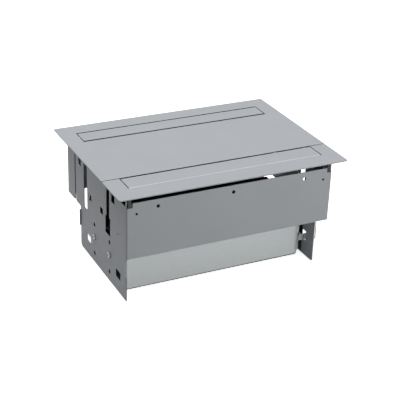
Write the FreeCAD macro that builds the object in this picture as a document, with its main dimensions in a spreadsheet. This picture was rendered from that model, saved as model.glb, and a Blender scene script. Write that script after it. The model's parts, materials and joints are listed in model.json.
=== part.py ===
import FreeCAD, Part
import math
import os
import Sketcher

# Desktop socket block: a sheet metal box that hangs in a desk cut-out, closed by two top plates
# with a long cable flap in each, over a wiring box that carries two rows of socket modules.
# Millimetres. X runs along the block, -Y is the front, Z is up, and Z = 0 is the plane of the feet.

doc = FreeCAD.newDocument("SocketBlock")
sheet = doc.addObject("Spreadsheet::Sheet", "Sizes")

driving_sizes = [
    # levels of the box, from the feet up
    ("leg_height", 61.5),
    ("panel_height", 79.0),
    ("top_gap", 12.0),
    # inserts, which the wiring box and so the whole block is made round
    ("module_count", 5.0),
    ("module_pitch", 45.0),
    ("module_gap", 0.4),
    ("row_gap", 2.4),
    ("row_margin", 22.0),
    ("tray_edge", 7.3),
    # top plates
    ("rim_side", 15.0),
    ("rim_front", 13.0),
    ("plate_thick", 1.5),
    ("plate_corner", 3.0),
    ("seam_gap", 1.2),
    # flaps and their hinges
    ("flap_inset", 10.0),
    ("flap_width", 29.2),
    ("flap_end_gap", 1.2),
    ("hinge_gap", 0.5),
    ("bead_radius", 2.5),
    ("front_finger_gap", 3.0),
    ("rear_finger_gap", 2.4),
    ("rear_slot_from_edge", 25.6),
    ("lip_depth", 3.5),
    ("lip_thick", 1.6),
    ("lip_inset", 12.0),
    ("rod_diameter", 2.5),
    ("rod_clearance", 0.1),
    ("bore_clearance", 0.08),
    ("rod_overhang", 6.5),
    ("saddle_gap", 0.6),
    ("saddle_wall_gap", 0.4),
    ("saddle_thick", 3.2),
    ("saddle_heel", 3.8),
    ("saddle_length", 30.5),
    ("ledge_reach", 7.5),
    ("ledge_width", 8.0),
    ("ledge_from_free_edge", 9.5),
    ("ledge_drop", 1.0),
    ("bumper_width", 4.6),
    ("bumper_end_gap", 0.5),
    ("bumper_gap", 0.2),
    # box shells
    ("sheet_thick", 1.0),
    ("bend_radius", 2.2),
    ("wall_top_gap", 0.5),
    ("panel_corner", 3.0),
    ("notch_width", 8.3),
    ("notch_depth", 6.5),
    ("leg_tail", 36.4),
    ("leg_setback", 18.6),
    ("return_length", 32.4),
    ("joint_gap", 1.0),
    ("front_foot_radius", 3.0),
    ("rear_foot_radius", 6.0),
    ("leg_fillet", 3.0),
    ("panel_hole_diameter", 5.0),
    ("panel_hole_pitch", 107.0),
    ("panel_hole_drop", 23.4),
    ("corner_screw_place", 13.6),
    ("corner_screw_drop", 29.4),
    ("corner_hole_diameter", 3.6),
    ("lug_reach", 2.0),
    ("lug_slot", 1.2),
    ("lug_drop", 1.5),
    ("lug_length", 24.5),
    # cut-outs of the side walls: depths from the front edge or the rear edge of the wall,
    # levels above its lower edge or below the top
    ("slot_top_drop", 8.0),
    ("straight_slot_setback", 38.3),
    ("straight_slot_width", 12.2),
    ("straight_slot_rise", 5.1),
    ("key_slot_place", 64.1),
    ("key_slot_neck", 9.8),
    ("key_slot_wide", 16.3),
    ("key_slot_rise", 5.9),
    ("key_slot_foot", 25.8),
    ("window_width", 9.5),
    ("window_height", 9.0),
    ("front_window_width", 11.0),
    ("front_window_height", 11.0),
    ("front_window_place", 46.3),
    ("front_window_drop", 27.0),
    ("rear_window_setback", 17.0),
    ("rear_window_drop", 26.0),
    ("middle_window_front", 86.5),
    ("middle_window_setback", 55.5),
    ("middle_window_rise", 30.0),
    ("corner_window_place", 10.8),
    ("corner_window_width", 14.0),
    ("corner_window_height", 9.4),
    ("corner_window_drop", 13.8),
    ("tab_window_width", 15.5),
    ("tab_window_height", 11.0),
    ("tab_window_level", 25.6),
    ("column_front", 58.3),
    ("column_rear_setback", 16.6),
    ("column_hole_drop", 9.4),
    ("column_screw_level", 39.6),
    ("column_hole_lower", 14.0),
    ("column_hole_diameter", 6.0),
    ("column_screw_hole", 5.6),
    ("pilot_place", 30.9),
    ("pilot_rise", 22.8),
    ("pilot_diameter", 2.2),
    # brackets and rests between the shells and the plates
    ("bracket_thick", 2.0),
    ("bend_clearance", 0.1),
    ("corner_bracket_length", 17.0),
    ("corner_bracket_head", 4.5),
    ("corner_bracket_leaf", 33.0),
    ("corner_bracket_seat", 9.5),
    ("corner_bracket_gap", 4.0),
    ("rear_rest_place", 72.0),
    ("rear_rest_length", 24.0),
    ("rear_rest_leaf", 30.0),
    ("rear_rest_seat", 9.5),
    ("side_rest_length", 46.0),
    ("side_rest_leaf", 14.0),
    ("side_rest_seat", 10.0),
    ("splice_width", 20.0),
    ("splice_rise", 9.5),
    ("splice_from_top", 17.0),
    ("locator_length", 9.0),
    ("locator_seam_gap", 2.3),
    ("locator_bracket_gap", 5.7),
    ("locator_drop", 15.0),
    ("locator_seat", 12.0),
    ("locator_clearance", 0.6),
    # inner end plate and its hanger
    ("end_plate_inset", 19.7),
    ("end_plate_rise", 4.5),
    ("arm_gap", 3.5),
    ("arm_width", 15.5),
    ("arm_flange_width", 12.0),
    ("arm_flange_inset", 4.0),
    ("front_tab_length", 12.5),
    ("tab_level", 29.5),
    ("plate_window_width", 9.5),
    ("plate_window_height", 14.6),
    ("tab_height", 9.4),
    ("tab_gap", 0.3),
    ("tab_root", 0.5),
    ("hanger_place", 82.0),
    ("hanger_length", 20.0),
    ("hanger_bottom", 40.0),
    ("hanger_rise", 8.0),
    ("hanger_leaf", 26.0),
    # wiring box
    ("tray_thick", 1.0),
    ("tray_setback", 21.0),
    ("tray_bottom", 3.7),
    ("tray_top", 73.5),
    ("tray_end_gap", 6.3),
    ("tray_bend_radius", 9.0),
    ("tray_return", 22.0),
    ("tray_left_flange", 13.0),
    ("tray_flange_gap", 2.4),
    ("tray_clearance", 0.3),
    ("end_cap_thick", 1.2),
    ("end_cap_flange", 3.4),
    ("ear_height", 6.6),
    ("ear_reach", 5.0),
    ("front_tab_screw_inset", 0.5),
    ("rear_tab_screw_reach", 3.0),
    ("floor_flange", 10.0),
    # module frame and modules
    ("frame_thick", 1.5),
    ("frame_flange", 9.0),
    ("upstand_height", 37.0),
    ("upstand_inset", 10.0),
    ("module_face_thick", 2.6),
    ("module_face_corner", 1.2),
    ("opening_margin", 3.5),
    ("module_clearance", 0.25),
    ("module_depth", 34.0),
    ("recess_wall", 1.2),
    ("recess_depth", 17.0),
    ("contact_pitch", 19.0),
    ("contact_diameter", 5.2),
    ("contact_depth", 10.0),
    ("guide_width", 4.6),
    ("guide_depth", 2.4),
    ("port_width", 9.2),
    ("port_height", 3.4),
    ("port_depth", 7.0),
    ("port_pitch", 14.0),
    ("jack_web", 5.8),
    ("jack_height", 8.6),
    ("jack_depth", 13.0),
    # parts inside and behind the wiring box
    ("terminal_bracket_height", 24.0),
    ("terminal_bracket_seat", 26.0),
    ("terminal_bracket_margin", 8.0),
    ("terminal_wall_gap", 4.0),
    ("terminal_screw_gap", 0.85),
    ("terminal_depth", 16.0),
    ("terminal_height", 14.0),
    ("terminal_count", 5.0),
    ("terminal_entry", 4.0),
    ("stud_diameter", 5.0),
    ("stud_height", 16.0),
    ("stud_place", 40.0),
    ("gland_place", 58.0),
    ("gland_level", 31.0),
    ("gland_thread", 20.0),
    ("gland_thread_end", 2.0),
    ("gland_bore", 12.0),
    ("gland_across_flats", 24.0),
    ("gland_hex_length", 6.0),
    ("gland_cap_length", 13.0),
    ("gland_cap_inset", 0.5),
    ("gland_cap_chamfer", 2.5),
    ("gland_nut_length", 5.0),
    ("entry_clearance", 0.3),
    ("grommet_place", 62.0),
    ("grommet_hole", 26.0),
    ("grommet_bore", 19.0),
    ("grommet_lip", 2.5),
    # fasteners
    ("screw_diameter", 5.0),
    ("screw_head_diameter", 9.2),
    ("screw_head_height", 2.8),
    ("screw_length", 9.0),
    ("small_screw_diameter", 3.0),
    ("small_head_diameter", 5.6),
    ("small_head_height", 1.9),
    ("small_screw_length", 6.0),
]


class Size:
    """A number together with the spreadsheet formula that gives it."""

    def __init__(self, number, formula=None):
        self.number = float(number)
        self.formula = formula if formula is not None else repr(float(number))

    def join(self, other, sign, number):
        return Size(number, "(" + self.formula + " " + sign + " " + other.formula + ")")

    def __add__(self, other):
        other = as_size(other)
        return self.join(other, "+", self.number + other.number)

    def __sub__(self, other):
        other = as_size(other)
        return self.join(other, "-", self.number - other.number)

    def __mul__(self, other):
        other = as_size(other)
        return self.join(other, "*", self.number * other.number)

    def __truediv__(self, other):
        other = as_size(other)
        return self.join(other, "/", self.number / other.number)

    def __radd__(self, other):
        return as_size(other) + self

    def __rsub__(self, other):
        return as_size(other) - self

    def __rmul__(self, other):
        return as_size(other) * self

    def __neg__(self):
        return as_size(0) - self


def as_size(value):
    return value if isinstance(value, Size) else Size(value)


size = {}
for row, (alias, number) in enumerate(driving_sizes, start=1):
    sheet.set("A%d" % row, alias)
    sheet.set("B%d" % row, str(number))
    sheet.setAlias("B%d" % row, alias)
    size[alias] = Size(number, "Sizes." + alias)
doc.recompute()

pieces = []


# Building blocks: bodies, outlines, pads and pockets


def new_body(label):
    body = doc.addObject("PartDesign::Body", label)
    body.Label = label
    pieces.append(body)
    return body


def start_sketch(body, plane, level):
    sketch = body.newObject("Sketcher::SketchObject", body.Name + "_sketch")
    origin_plane = next(f for f in body.Origin.OriginFeatures if f.Role == plane + "_Plane")
    sketch.AttachmentSupport = [(origin_plane, "")]
    sketch.MapMode = "FlatFace"
    sketch.setExpression("AttachmentOffset.Base.z", as_size(level).formula)
    return sketch


def pin_point(sketch, geometry, point, x, y):
    """Fixes a point of the sketch by two formulas."""
    for kind, value in (("DistanceX", as_size(x)), ("DistanceY", as_size(y))):
        index = sketch.addConstraint(
            Sketcher.Constraint(kind, -1, 1, geometry, point, value.number)
        )
        sketch.setExpression("Constraints[%d]" % index, value.formula)


def polygon(*points):
    def draw(sketch):
        first = sketch.GeometryCount
        corners = [FreeCAD.Vector(as_size(x).number, as_size(y).number, 0) for x, y in points]
        count = len(corners)
        for i in range(count):
            sketch.addGeometry(Part.LineSegment(corners[i], corners[(i + 1) % count]), False)
        for i in range(count):
            following = first + (i + 1) % count
            sketch.addConstraint(Sketcher.Constraint("Coincident", first + i, 2, following, 1))
        for i, (x, y) in enumerate(points):
            pin_point(sketch, first + i, 1, x, y)

    return draw


def rectangle(x0, x1, y0, y1):
    return polygon((x0, y0), (x1, y0), (x1, y1), (x0, y1))


def centred(x, y, width, height):
    return rectangle(x - width / 2, x + width / 2, y - height / 2, y + height / 2)


def circle(x, y, diameter):
    def draw(sketch):
        centre = FreeCAD.Vector(as_size(x).number, as_size(y).number, 0)
        radius = as_size(diameter).number / 2
        index = sketch.addGeometry(Part.Circle(centre, FreeCAD.Vector(0, 0, 1), radius), False)
        pin_point(sketch, index, 3, x, y)
        width = sketch.addConstraint(Sketcher.Constraint("Diameter", index, 2 * radius))
        sketch.setExpression("Constraints[%d]" % width, as_size(diameter).formula)

    return draw


def ordered(a, b):
    return (a, b) if as_size(a).number < as_size(b).number else (b, a)


def hexagon(x, y, across_flats):
    reach = across_flats / math.sqrt(3)
    half = across_flats / 2
    return polygon(
        (x + reach, y),
        (x + reach / 2, y + half),
        (x - reach / 2, y + half),
        (x - reach, y),
        (x - reach / 2, y - half),
        (x + reach / 2, y - half),
    )


def pad(body, plane, low, high, *outlines):
    """Adds the outlines between two levels along the plane's axis."""
    low, high = as_size(low), as_size(high)
    sketch = start_sketch(body, plane, -high if plane == "XZ" else low)
    for outline in outlines:
        outline(sketch)
    feature = body.newObject("PartDesign::Pad", body.Name + "_pad")
    feature.Profile = sketch
    feature.setExpression("Length", (high - low).formula)
    body.Tip = feature
    return feature


def pocket(body, plane, low, high, *outlines):
    """Cuts the outlines between two levels along the plane's axis, and checks that it did."""
    doc.recompute()
    before = body.Tip.Shape.Volume
    low, high = as_size(low), as_size(high)
    sketch = start_sketch(body, plane, -low if plane == "XZ" else high)
    for outline in outlines:
        outline(sketch)
    feature = body.newObject("PartDesign::Pocket", body.Name + "_pocket")
    feature.Profile = sketch
    feature.setExpression("Length", (high - low).formula)
    body.Tip = feature
    doc.recompute()
    if not feature.Shape.Volume < before - 1e-3:
        raise RuntimeError(body.Label + ": a pocket cuts nothing")
    return feature


def straight_edge(direction, x=None, y=None, z=None):
    """A test for straight edges along one axis that pass through the given coordinates."""
    wanted = {"x": x, "y": y, "z": z}

    def chosen(edge):
        if not isinstance(edge.Curve, Part.Line):
            return False
        start, end = edge.Vertexes[0].Point, edge.Vertexes[-1].Point
        run = end - start
        if abs(getattr(run, direction)) < 0.999 * run.Length:
            return False
        middle = (start + end) / 2
        return all(
            value is None or abs(getattr(middle, name) - as_size(value).number) < 0.02
            for name, value in wanted.items()
        )

    return chosen


def finish_edges(body, kind, radius, *tests):
    doc.recompute()
    tip = body.Tip
    names = []
    for number, edge in enumerate(tip.Shape.Edges, start=1):
        if any(test(edge) for test in tests):
            names.append("Edge%d" % number)
    if not names:
        raise RuntimeError(body.Label + ": no edge to finish")
    feature = body.newObject("PartDesign::" + kind, body.Name + "_" + kind.lower())
    feature.Base = (tip, names)
    feature.setExpression("Radius" if kind == "Fillet" else "Size", as_size(radius).formula)
    body.Tip = feature
    return feature


def place(body, x=0, y=0, z=0, turned=False):
    """Sets a body down at a point, turned half round about the vertical if asked."""
    if turned:
        body.Placement.Rotation = FreeCAD.Rotation(FreeCAD.Vector(0, 0, 1), 180)
    for axis, value in (("x", x), ("y", y), ("z", z)):
        body.setExpression("Placement.Base." + axis, as_size(value).formula)


def turned_solid(profile, x, y, z, axis):
    """A solid of revolution: a (radius, height) profile about an axis through a point."""
    points = [FreeCAD.Vector(r, 0, h) for r, h in profile]
    face = Part.Face(Part.makePolygon(points + [points[0]]))
    solid = face.revolve(FreeCAD.Vector(0, 0, 0), FreeCAD.Vector(0, 0, 1), 360)
    solid.Placement = FreeCAD.Placement(
        FreeCAD.Vector(x, y, z), FreeCAD.Rotation(FreeCAD.Vector(0, 0, 1), FreeCAD.Vector(*axis))
    )
    return solid


def add_group(label, solids):
    group = doc.addObject("Part::Feature", label)
    group.Label = label
    group.Shape = Part.makeCompound(solids)
    pieces.append(group)
    return group


# Levels and faces that several pieces share

thick = size["sheet_thick"]
margin = as_size(1)

panel_bottom = size["leg_height"]
panel_top = panel_bottom + size["panel_height"]
under = panel_top + size["top_gap"]
top = under + size["plate_thick"]
wall_top = under - size["wall_top_gap"]
end_plate_top = panel_bottom + size["end_plate_rise"]

# the inserts give the run and the depth of the wiring box
row_count = int(size["module_count"].number)
module_face = size["module_pitch"] - size["module_gap"]
module_opening = size["module_pitch"] - size["opening_margin"]
module_body = module_opening - 2 * size["module_clearance"]
row_pitch = module_face + size["row_gap"]
tray_run = row_count * size["module_pitch"] + 2 * size["row_margin"]
tray_depth = 2 * row_pitch + 2 * size["tray_edge"]

# along the block: left wall, wiring box, end cap, inner end plate, right wall
end_cap_room = size["tray_clearance"] + size["end_cap_flange"]
left_room = thick + size["tray_clearance"]
right_room = size["tray_end_gap"] + size["end_plate_inset"]
half_box = (left_room + tray_run + end_cap_room + right_room) / 2
inner_side = half_box - thick
tray_left = -inner_side + size["tray_clearance"]
tray_right = tray_left + tray_run
end_cap_outer = tray_right + end_cap_room
end_cap_inner = end_cap_outer - size["end_cap_thick"]
end_plate_outer = end_cap_outer + size["tray_end_gap"]
end_plate_inner = end_plate_outer - thick

# across the block: front panel, wiring box, end of the leg, end of the wall, return flange
wall_reach = size["tray_setback"] + tray_depth + size["leg_tail"] + size["leg_setback"]
box_depth = wall_reach + size["joint_gap"] + size["return_length"]
box_front = -box_depth / 2
box_rear = box_depth / 2
inner_front = box_front + thick
inner_rear = box_rear - thick
tray_front = box_front + size["tray_setback"]
tray_rear = tray_front + tray_depth
tray_middle = (tray_front + tray_rear) / 2
leg_y = tray_rear + size["leg_tail"]
reach_y = leg_y + size["leg_setback"]
return_y = -reach_y - size["joint_gap"]
frame_under = size["tray_top"]
frame_top = frame_under + size["frame_thick"]

# top plates, flaps and hinge axes
plate_front = box_front - size["rim_front"]
plate_rear = box_rear + size["rim_front"]
half_plate = half_box + size["rim_side"]
half_flap = half_box - size["flap_inset"]
slot_end = half_flap + size["flap_end_gap"]
axis_level = top - size["bead_radius"]
axis_offset = size["hinge_gap"] + size["bead_radius"]
flap_span = size["flap_width"] - size["bead_radius"]
corner_seat_end = inner_front + size["corner_bracket_seat"]
front_axis_y = corner_seat_end + size["corner_bracket_gap"] + size["saddle_heel"]
front_slot_wall = front_axis_y - axis_offset
cover_edge = front_axis_y + flap_span + size["front_finger_gap"]
front_plate_edge = cover_edge - size["seam_gap"]
rear_slot_wall = plate_rear - size["rear_slot_from_edge"]
rear_axis_y = rear_slot_wall - axis_offset
rear_slot_front = rear_axis_y - flap_span - size["rear_finger_gap"]
groove_diameter = size["rod_diameter"] + 2 * size["rod_clearance"]

# the tabs of the inner end plate lie against the front and the rear of the wiring box
front_tab_face = tray_front - thick
rear_tab_face = tray_rear - size["end_cap_thick"] - thick
column_levels = {
    "upper": panel_bottom + size["key_slot_rise"] - size["column_hole_drop"],
    "screw": size["column_screw_level"],
    "lower": size["column_hole_lower"],
}
column_places = (
    box_front + size["column_front"],
    tray_rear - size["column_rear_setback"],
)


def from_front(name):
    """A place along the side wall, measured from the front of the box."""
    return box_front + size[name]


# Shells: side wall, end panel and return flange bent from one sheet


def side_column(level, diameter):
    return [circle(y, level, diameter) for y in column_places]


def tab_windows(level, width, height):
    """The windows that a leg or the inner end plate has behind the faces of the two tabs."""
    return [
        centred(tab_face + width / 2, level, width, height)
        for tab_face in (front_tab_face, rear_tab_face)
    ]


def lower_cut_outs():
    holes = []
    for level in ("upper", "lower"):
        holes += side_column(column_levels[level], size["column_hole_diameter"])
    holes += side_column(column_levels["screw"], size["column_screw_hole"])
    return holes + tab_windows(
        size["tab_window_level"], size["tab_window_width"], size["tab_window_height"]
    )


def upper_cut_outs():
    slot_top = top - size["slot_top_drop"]
    straight = reach_y - size["straight_slot_setback"]
    half_straight = size["straight_slot_width"] / 2
    straight_floor = panel_bottom + size["straight_slot_rise"]
    key = from_front("key_slot_place")
    neck = size["key_slot_neck"] / 2
    wide = size["key_slot_wide"] / 2
    floor = panel_bottom + size["key_slot_rise"]
    step = floor + size["key_slot_foot"]
    middle_level = panel_bottom + size["middle_window_rise"]
    pilot_level = panel_bottom + size["pilot_rise"]
    return [
        rectangle(straight - half_straight, straight + half_straight, straight_floor, slot_top),
        polygon(
            (key - wide, floor),
            (key + wide, floor),
            (key + wide, step),
            (key + neck, step),
            (key + neck, slot_top),
            (key - neck, slot_top),
            (key - neck, step),
            (key - wide, step),
        ),
        circle(from_front("pilot_place"), pilot_level, size["pilot_diameter"]),
        centred(
            from_front("front_window_place"),
            top - size["front_window_drop"],
            size["front_window_width"],
            size["front_window_height"],
        ),
        centred(
            reach_y - size["rear_window_setback"],
            top - size["rear_window_drop"],
            size["window_width"],
            size["window_height"],
        ),
        centred(
            from_front("middle_window_front"),
            middle_level,
            size["window_width"],
            size["window_height"],
        ),
        centred(
            reach_y - size["middle_window_setback"],
            middle_level,
            size["window_width"],
            size["window_height"],
        ),
        centred(
            from_front("corner_window_place"),
            top - size["corner_window_drop"],
            size["corner_window_width"],
            size["corner_window_height"],
        ),
    ]


def add_lug(body, wall_outer, outward):
    """A slotted lug that the front edge of a leg carries, bent outwards."""
    tip = wall_outer + outward * size["lug_reach"]
    root = wall_outer - outward * thick
    slot_end_x = wall_outer + outward * size["lug_slot"]
    high = panel_bottom - size["lug_drop"]
    low = high - size["lug_length"]
    lug_sides = ordered(tip, root)
    slot_sides = ordered(slot_end_x, wall_outer)
    pad(body, "XZ", box_front, inner_front, rectangle(lug_sides[0], lug_sides[1], low, high))
    pocket(
        body,
        "XZ",
        box_front - margin,
        inner_front + margin,
        rectangle(slot_sides[0], slot_sides[1], low + thick, high - thick),
    )


def make_shell(label, has_leg):
    body = new_body(label)
    bottom = as_size(0) if has_leg else panel_bottom
    pad(
        body,
        "XY",
        bottom,
        wall_top,
        polygon(
            (-half_box, reach_y),
            (-half_box, box_front),
            (half_box, box_front),
            (half_box, return_y),
            (inner_side, return_y),
            (inner_side, inner_front),
            (-inner_side, inner_front),
            (-inner_side, reach_y),
        ),
    )
    finish_edges(
        body,
        "Fillet",
        size["bend_radius"] - thick,
        straight_edge("z", x=inner_side, y=inner_front),
        straight_edge("z", x=-inner_side, y=inner_front),
    )
    finish_edges(
        body,
        "Fillet",
        size["bend_radius"],
        straight_edge("z", x=half_box, y=box_front),
        straight_edge("z", x=-half_box, y=box_front),
    )
    bend_depth = size["bend_radius"] + as_size(0.5)
    if has_leg:
        pocket(
            body,
            "XZ",
            box_front - margin,
            return_y + margin,
            rectangle(-inner_side, half_box + margin, -margin, panel_bottom),
        )
        pocket(
            body,
            "YZ",
            -half_box - margin,
            -inner_side + margin,
            rectangle(leg_y, reach_y + margin, -margin, panel_bottom),
        )
    notch_floor = panel_top - size["notch_depth"]
    notch_x = half_box - size["notch_width"]
    pocket(
        body,
        "XZ",
        box_front - margin,
        box_front + bend_depth,
        polygon(
            (-half_box - margin, notch_floor),
            (-notch_x, notch_floor),
            (-notch_x, panel_top),
            (notch_x, panel_top),
            (notch_x, notch_floor),
            (half_box + margin, notch_floor),
            (half_box + margin, wall_top + margin),
            (-half_box - margin, wall_top + margin),
        ),
    )
    wall_cut_outs = upper_cut_outs()
    if has_leg:
        wall_cut_outs += lower_cut_outs()
    pocket(body, "YZ", -half_box - margin, -inner_side + margin, *wall_cut_outs)
    hole_level = top - size["panel_hole_drop"]
    screw_x = half_box - size["corner_screw_place"]
    screw_level = top - size["corner_screw_drop"]
    panel_holes = [
        circle(size["panel_hole_pitch"] * step, hole_level, size["panel_hole_diameter"])
        for step in (-1, 0, 1)
    ]
    panel_holes += [
        circle(sign * screw_x, screw_level, size["corner_hole_diameter"])
        for sign in (-1, 1)
    ]
    pocket(body, "XZ", box_front - margin, inner_front + margin, *panel_holes)
    finish_edges(
        body,
        "Fillet",
        size["panel_corner"],
        straight_edge("x", y=return_y, z=panel_bottom),
        straight_edge("x", y=reach_y, z=panel_bottom),
    )
    if has_leg:
        finish_edges(body, "Fillet", size["leg_fillet"], straight_edge("x", y=leg_y, z=panel_bottom))
        finish_edges(body, "Fillet", size["rear_foot_radius"], straight_edge("x", y=leg_y, z=0))
        add_lug(body, -half_box, -1)
        lip_high = panel_bottom - size["leg_fillet"] - size["lug_drop"]
        pad(
            body,
            "XZ",
            leg_y - thick,
            leg_y,
            rectangle(
                -half_box - size["lug_reach"], -inner_side, lip_high - size["lug_length"], lip_high
            ),
        )
    return body


make_shell("front_shell", has_leg=True)
rear_shell = make_shell("rear_shell", has_leg=False)
place(rear_shell, turned=True)


# Top plates with the slots of the two flaps, and the grooves that house the hinge rods


def cut_rod_grooves(body, axis_y):
    reach = slot_end + size["rod_overhang"]
    for low, high in ((-reach, -slot_end + margin), (slot_end - margin, reach)):
        pocket(body, "YZ", low, high, circle(axis_y, axis_level, groove_diameter))


front_plate = new_body("front_cover_plate")
pad(
    front_plate,
    "XY",
    under,
    top,
    polygon(
        (-half_plate, plate_front),
        (half_plate, plate_front),
        (half_plate, front_plate_edge),
        (slot_end, front_plate_edge),
        (slot_end, front_slot_wall),
        (-slot_end, front_slot_wall),
        (-slot_end, front_plate_edge),
        (-half_plate, front_plate_edge),
    ),
)
finish_edges(
    front_plate,
    "Fillet",
    size["plate_corner"],
    straight_edge("z", x=half_plate, y=plate_front),
    straight_edge("z", x=-half_plate, y=plate_front),
)
cut_rod_grooves(front_plate, front_axis_y)

rear_plate = new_body("rear_cover_plate")
pad(
    rear_plate,
    "XY",
    under,
    top,
    rectangle(-half_plate, half_plate, cover_edge, plate_rear),
    rectangle(-slot_end, slot_end, rear_slot_front, rear_slot_wall),
)
finish_edges(
    rear_plate,
    "Fillet",
    size["plate_corner"],
    straight_edge("z", x=half_plate, y=plate_rear),
    straight_edge("z", x=-half_plate, y=plate_rear),
)
cut_rod_grooves(rear_plate, rear_axis_y)


# Flaps, drawn about their hinge axis: a plate tangent to a round bead that is bored for the rod


def make_flap(label, axis_y, turned):
    body = new_body(label)
    half = half_flap
    face = size["bead_radius"]
    back = face - size["plate_thick"]
    pad(body, "YZ", -half, half, circle(0, 0, 2 * size["bead_radius"]))
    pad(body, "YZ", -half, half, rectangle(0, flap_span, back, face))
    lip_end = half - size["lip_inset"]
    pad(
        body,
        "YZ",
        -lip_end,
        lip_end,
        rectangle(flap_span - size["lip_thick"], flap_span, back - size["lip_depth"], face),
    )
    bore = size["rod_diameter"] + 2 * size["bore_clearance"]
    pocket(body, "YZ", -half - margin, half + margin, circle(0, 0, bore))
    place(body, y=axis_y, z=axis_level, turned=turned)
    return body


def make_rod(label, axis_y):
    rod = doc.addObject("Part::Cylinder", label)
    rod.Label = label
    reach = slot_end + size["rod_overhang"] - size["flap_end_gap"]
    rod.setExpression("Radius", (size["rod_diameter"] / 2).formula)
    rod.setExpression("Height", (2 * reach).formula)
    rod.Placement.Rotation = FreeCAD.Rotation(FreeCAD.Vector(0, 1, 0), 90)
    rod.setExpression("Placement.Base.x", (-reach).formula)
    rod.setExpression("Placement.Base.y", axis_y.formula)
    rod.setExpression("Placement.Base.z", axis_level.formula)
    pieces.append(rod)
    return rod


def make_hinge_bracket(label, axis_y, side, turned):
    """A saddle under the plate that closes the rod's groove, with a ledge below the flap's end."""
    body = new_body(label)
    inner = slot_end + size["saddle_gap"]
    outer = inner_side - size["saddle_wall_gap"]
    heel = -size["saddle_heel"]
    toe = heel + size["saddle_length"]
    ledge_inner = inner - size["ledge_reach"]
    ledge_high = flap_span - size["ledge_from_free_edge"] + size["ledge_width"] / 2
    ledge_low = ledge_high - size["ledge_width"]
    local_under = under - axis_level
    local_floor = local_under - size["saddle_thick"]
    outline = [
        (inner, heel),
        (outer, heel),
        (outer, toe),
        (inner, toe),
        (inner, ledge_high),
        (ledge_inner, ledge_high),
        (ledge_inner, ledge_low),
        (inner, ledge_low),
    ]
    pad(body, "XY", local_floor, local_under, polygon(*[(side * x, y) for x, y in outline]))
    cut = sorted((side * (ledge_inner - margin), side * inner), key=lambda value: value.number)
    pocket(
        body,
        "XY",
        local_under - size["ledge_drop"],
        local_under + margin,
        rectangle(cut[0], cut[1], ledge_low - margin, ledge_high + margin),
    )
    ends = sorted((side * (inner - margin), side * (outer + margin)), key=lambda v: v.number)
    pocket(body, "YZ", ends[0], ends[1], circle(0, 0, groove_diameter))
    place(body, y=axis_y, z=axis_level, turned=turned)
    return body


def bumper_solids(axis_y, direction):
    """The two square pads on the ledges that a closed flap comes down on."""
    width = size["bumper_width"].number
    height = (size["ledge_drop"] - size["bumper_gap"]).number
    across = flap_span - size["ledge_from_free_edge"]
    y = (axis_y + direction * across).number - width / 2
    level = (under - size["ledge_drop"]).number
    ledge_end = slot_end + size["saddle_gap"] - size["ledge_reach"]
    inner = (ledge_end + size["bumper_end_gap"]).number
    return [
        Part.makeBox(width, width, height, FreeCAD.Vector(x, y, level))
        for x in (-inner - width, inner)
    ]


make_flap("front_flap", front_axis_y, turned=False)
make_flap("rear_flap", rear_axis_y, turned=True)
make_rod("front_hinge_rod", front_axis_y)
make_rod("rear_hinge_rod", rear_axis_y)
make_hinge_bracket("front_hinge_bracket_left", front_axis_y, -1, turned=False)
make_hinge_bracket("front_hinge_bracket_right", front_axis_y, 1, turned=False)
make_hinge_bracket("rear_hinge_bracket_left", rear_axis_y, 1, turned=True)
make_hinge_bracket("rear_hinge_bracket_right", rear_axis_y, -1, turned=True)
add_group("front_flap_bumpers", bumper_solids(front_axis_y, 1))
add_group("rear_flap_bumpers", bumper_solids(rear_axis_y, -1))


# Brackets and rests, angles of thicker sheet


def make_corner_bracket(label, side):
    """Ties a front corner of the shell to the front plate. Above the panel only its head shows."""
    body = new_body(label)
    outer = inner_side - (size["bend_radius"] - thick) - size["bend_clearance"]
    span = ordered(side * (outer - size["corner_bracket_length"]), side * outer)
    leaf_back = inner_front + size["bracket_thick"]
    seat_floor = under - size["bracket_thick"]
    pad(
        body,
        "YZ",
        span[0],
        span[1],
        polygon(
            (inner_front, under - size["corner_bracket_leaf"]),
            (leaf_back, under - size["corner_bracket_leaf"]),
            (leaf_back, seat_floor),
            (corner_seat_end, seat_floor),
            (corner_seat_end, under),
            (inner_front, under),
        ),
    )
    screw_x = half_box - size["corner_screw_place"]
    pocket(
        body,
        "XZ",
        inner_front - margin,
        leaf_back + margin,
        circle(side * screw_x, top - size["corner_screw_drop"], size["small_screw_diameter"]),
    )
    beside_head = ordered(
        side * (outer - size["corner_bracket_length"] - margin),
        side * (outer - size["corner_bracket_head"]),
    )
    pocket(
        body,
        "XZ",
        inner_front - margin,
        corner_seat_end + margin,
        rectangle(beside_head[0], beside_head[1], panel_top - margin, under + margin),
    )
    return body


def make_rear_rest(label, side):
    """Carries the lift-off plate on the rear panel."""
    body = new_body(label)
    centre = side * size["rear_rest_place"]
    half = size["rear_rest_length"] / 2
    leaf_front = inner_rear - size["bracket_thick"]
    seat_floor = under - size["bracket_thick"]
    pad(
        body,
        "YZ",
        centre - half,
        centre + half,
        polygon(
            (inner_rear, under - size["rear_rest_leaf"]),
            (inner_rear, under),
            (inner_rear - size["rear_rest_seat"], under),
            (inner_rear - size["rear_rest_seat"], seat_floor),
            (leaf_front, seat_floor),
            (leaf_front, under - size["rear_rest_leaf"]),
        ),
    )
    return body


rear_saddle_toe = rear_axis_y + size["saddle_heel"] - size["saddle_length"]
front_locator_y = cover_edge + size["locator_seam_gap"]
rear_locator_y = rear_saddle_toe - size["locator_bracket_gap"] - size["locator_length"]


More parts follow.
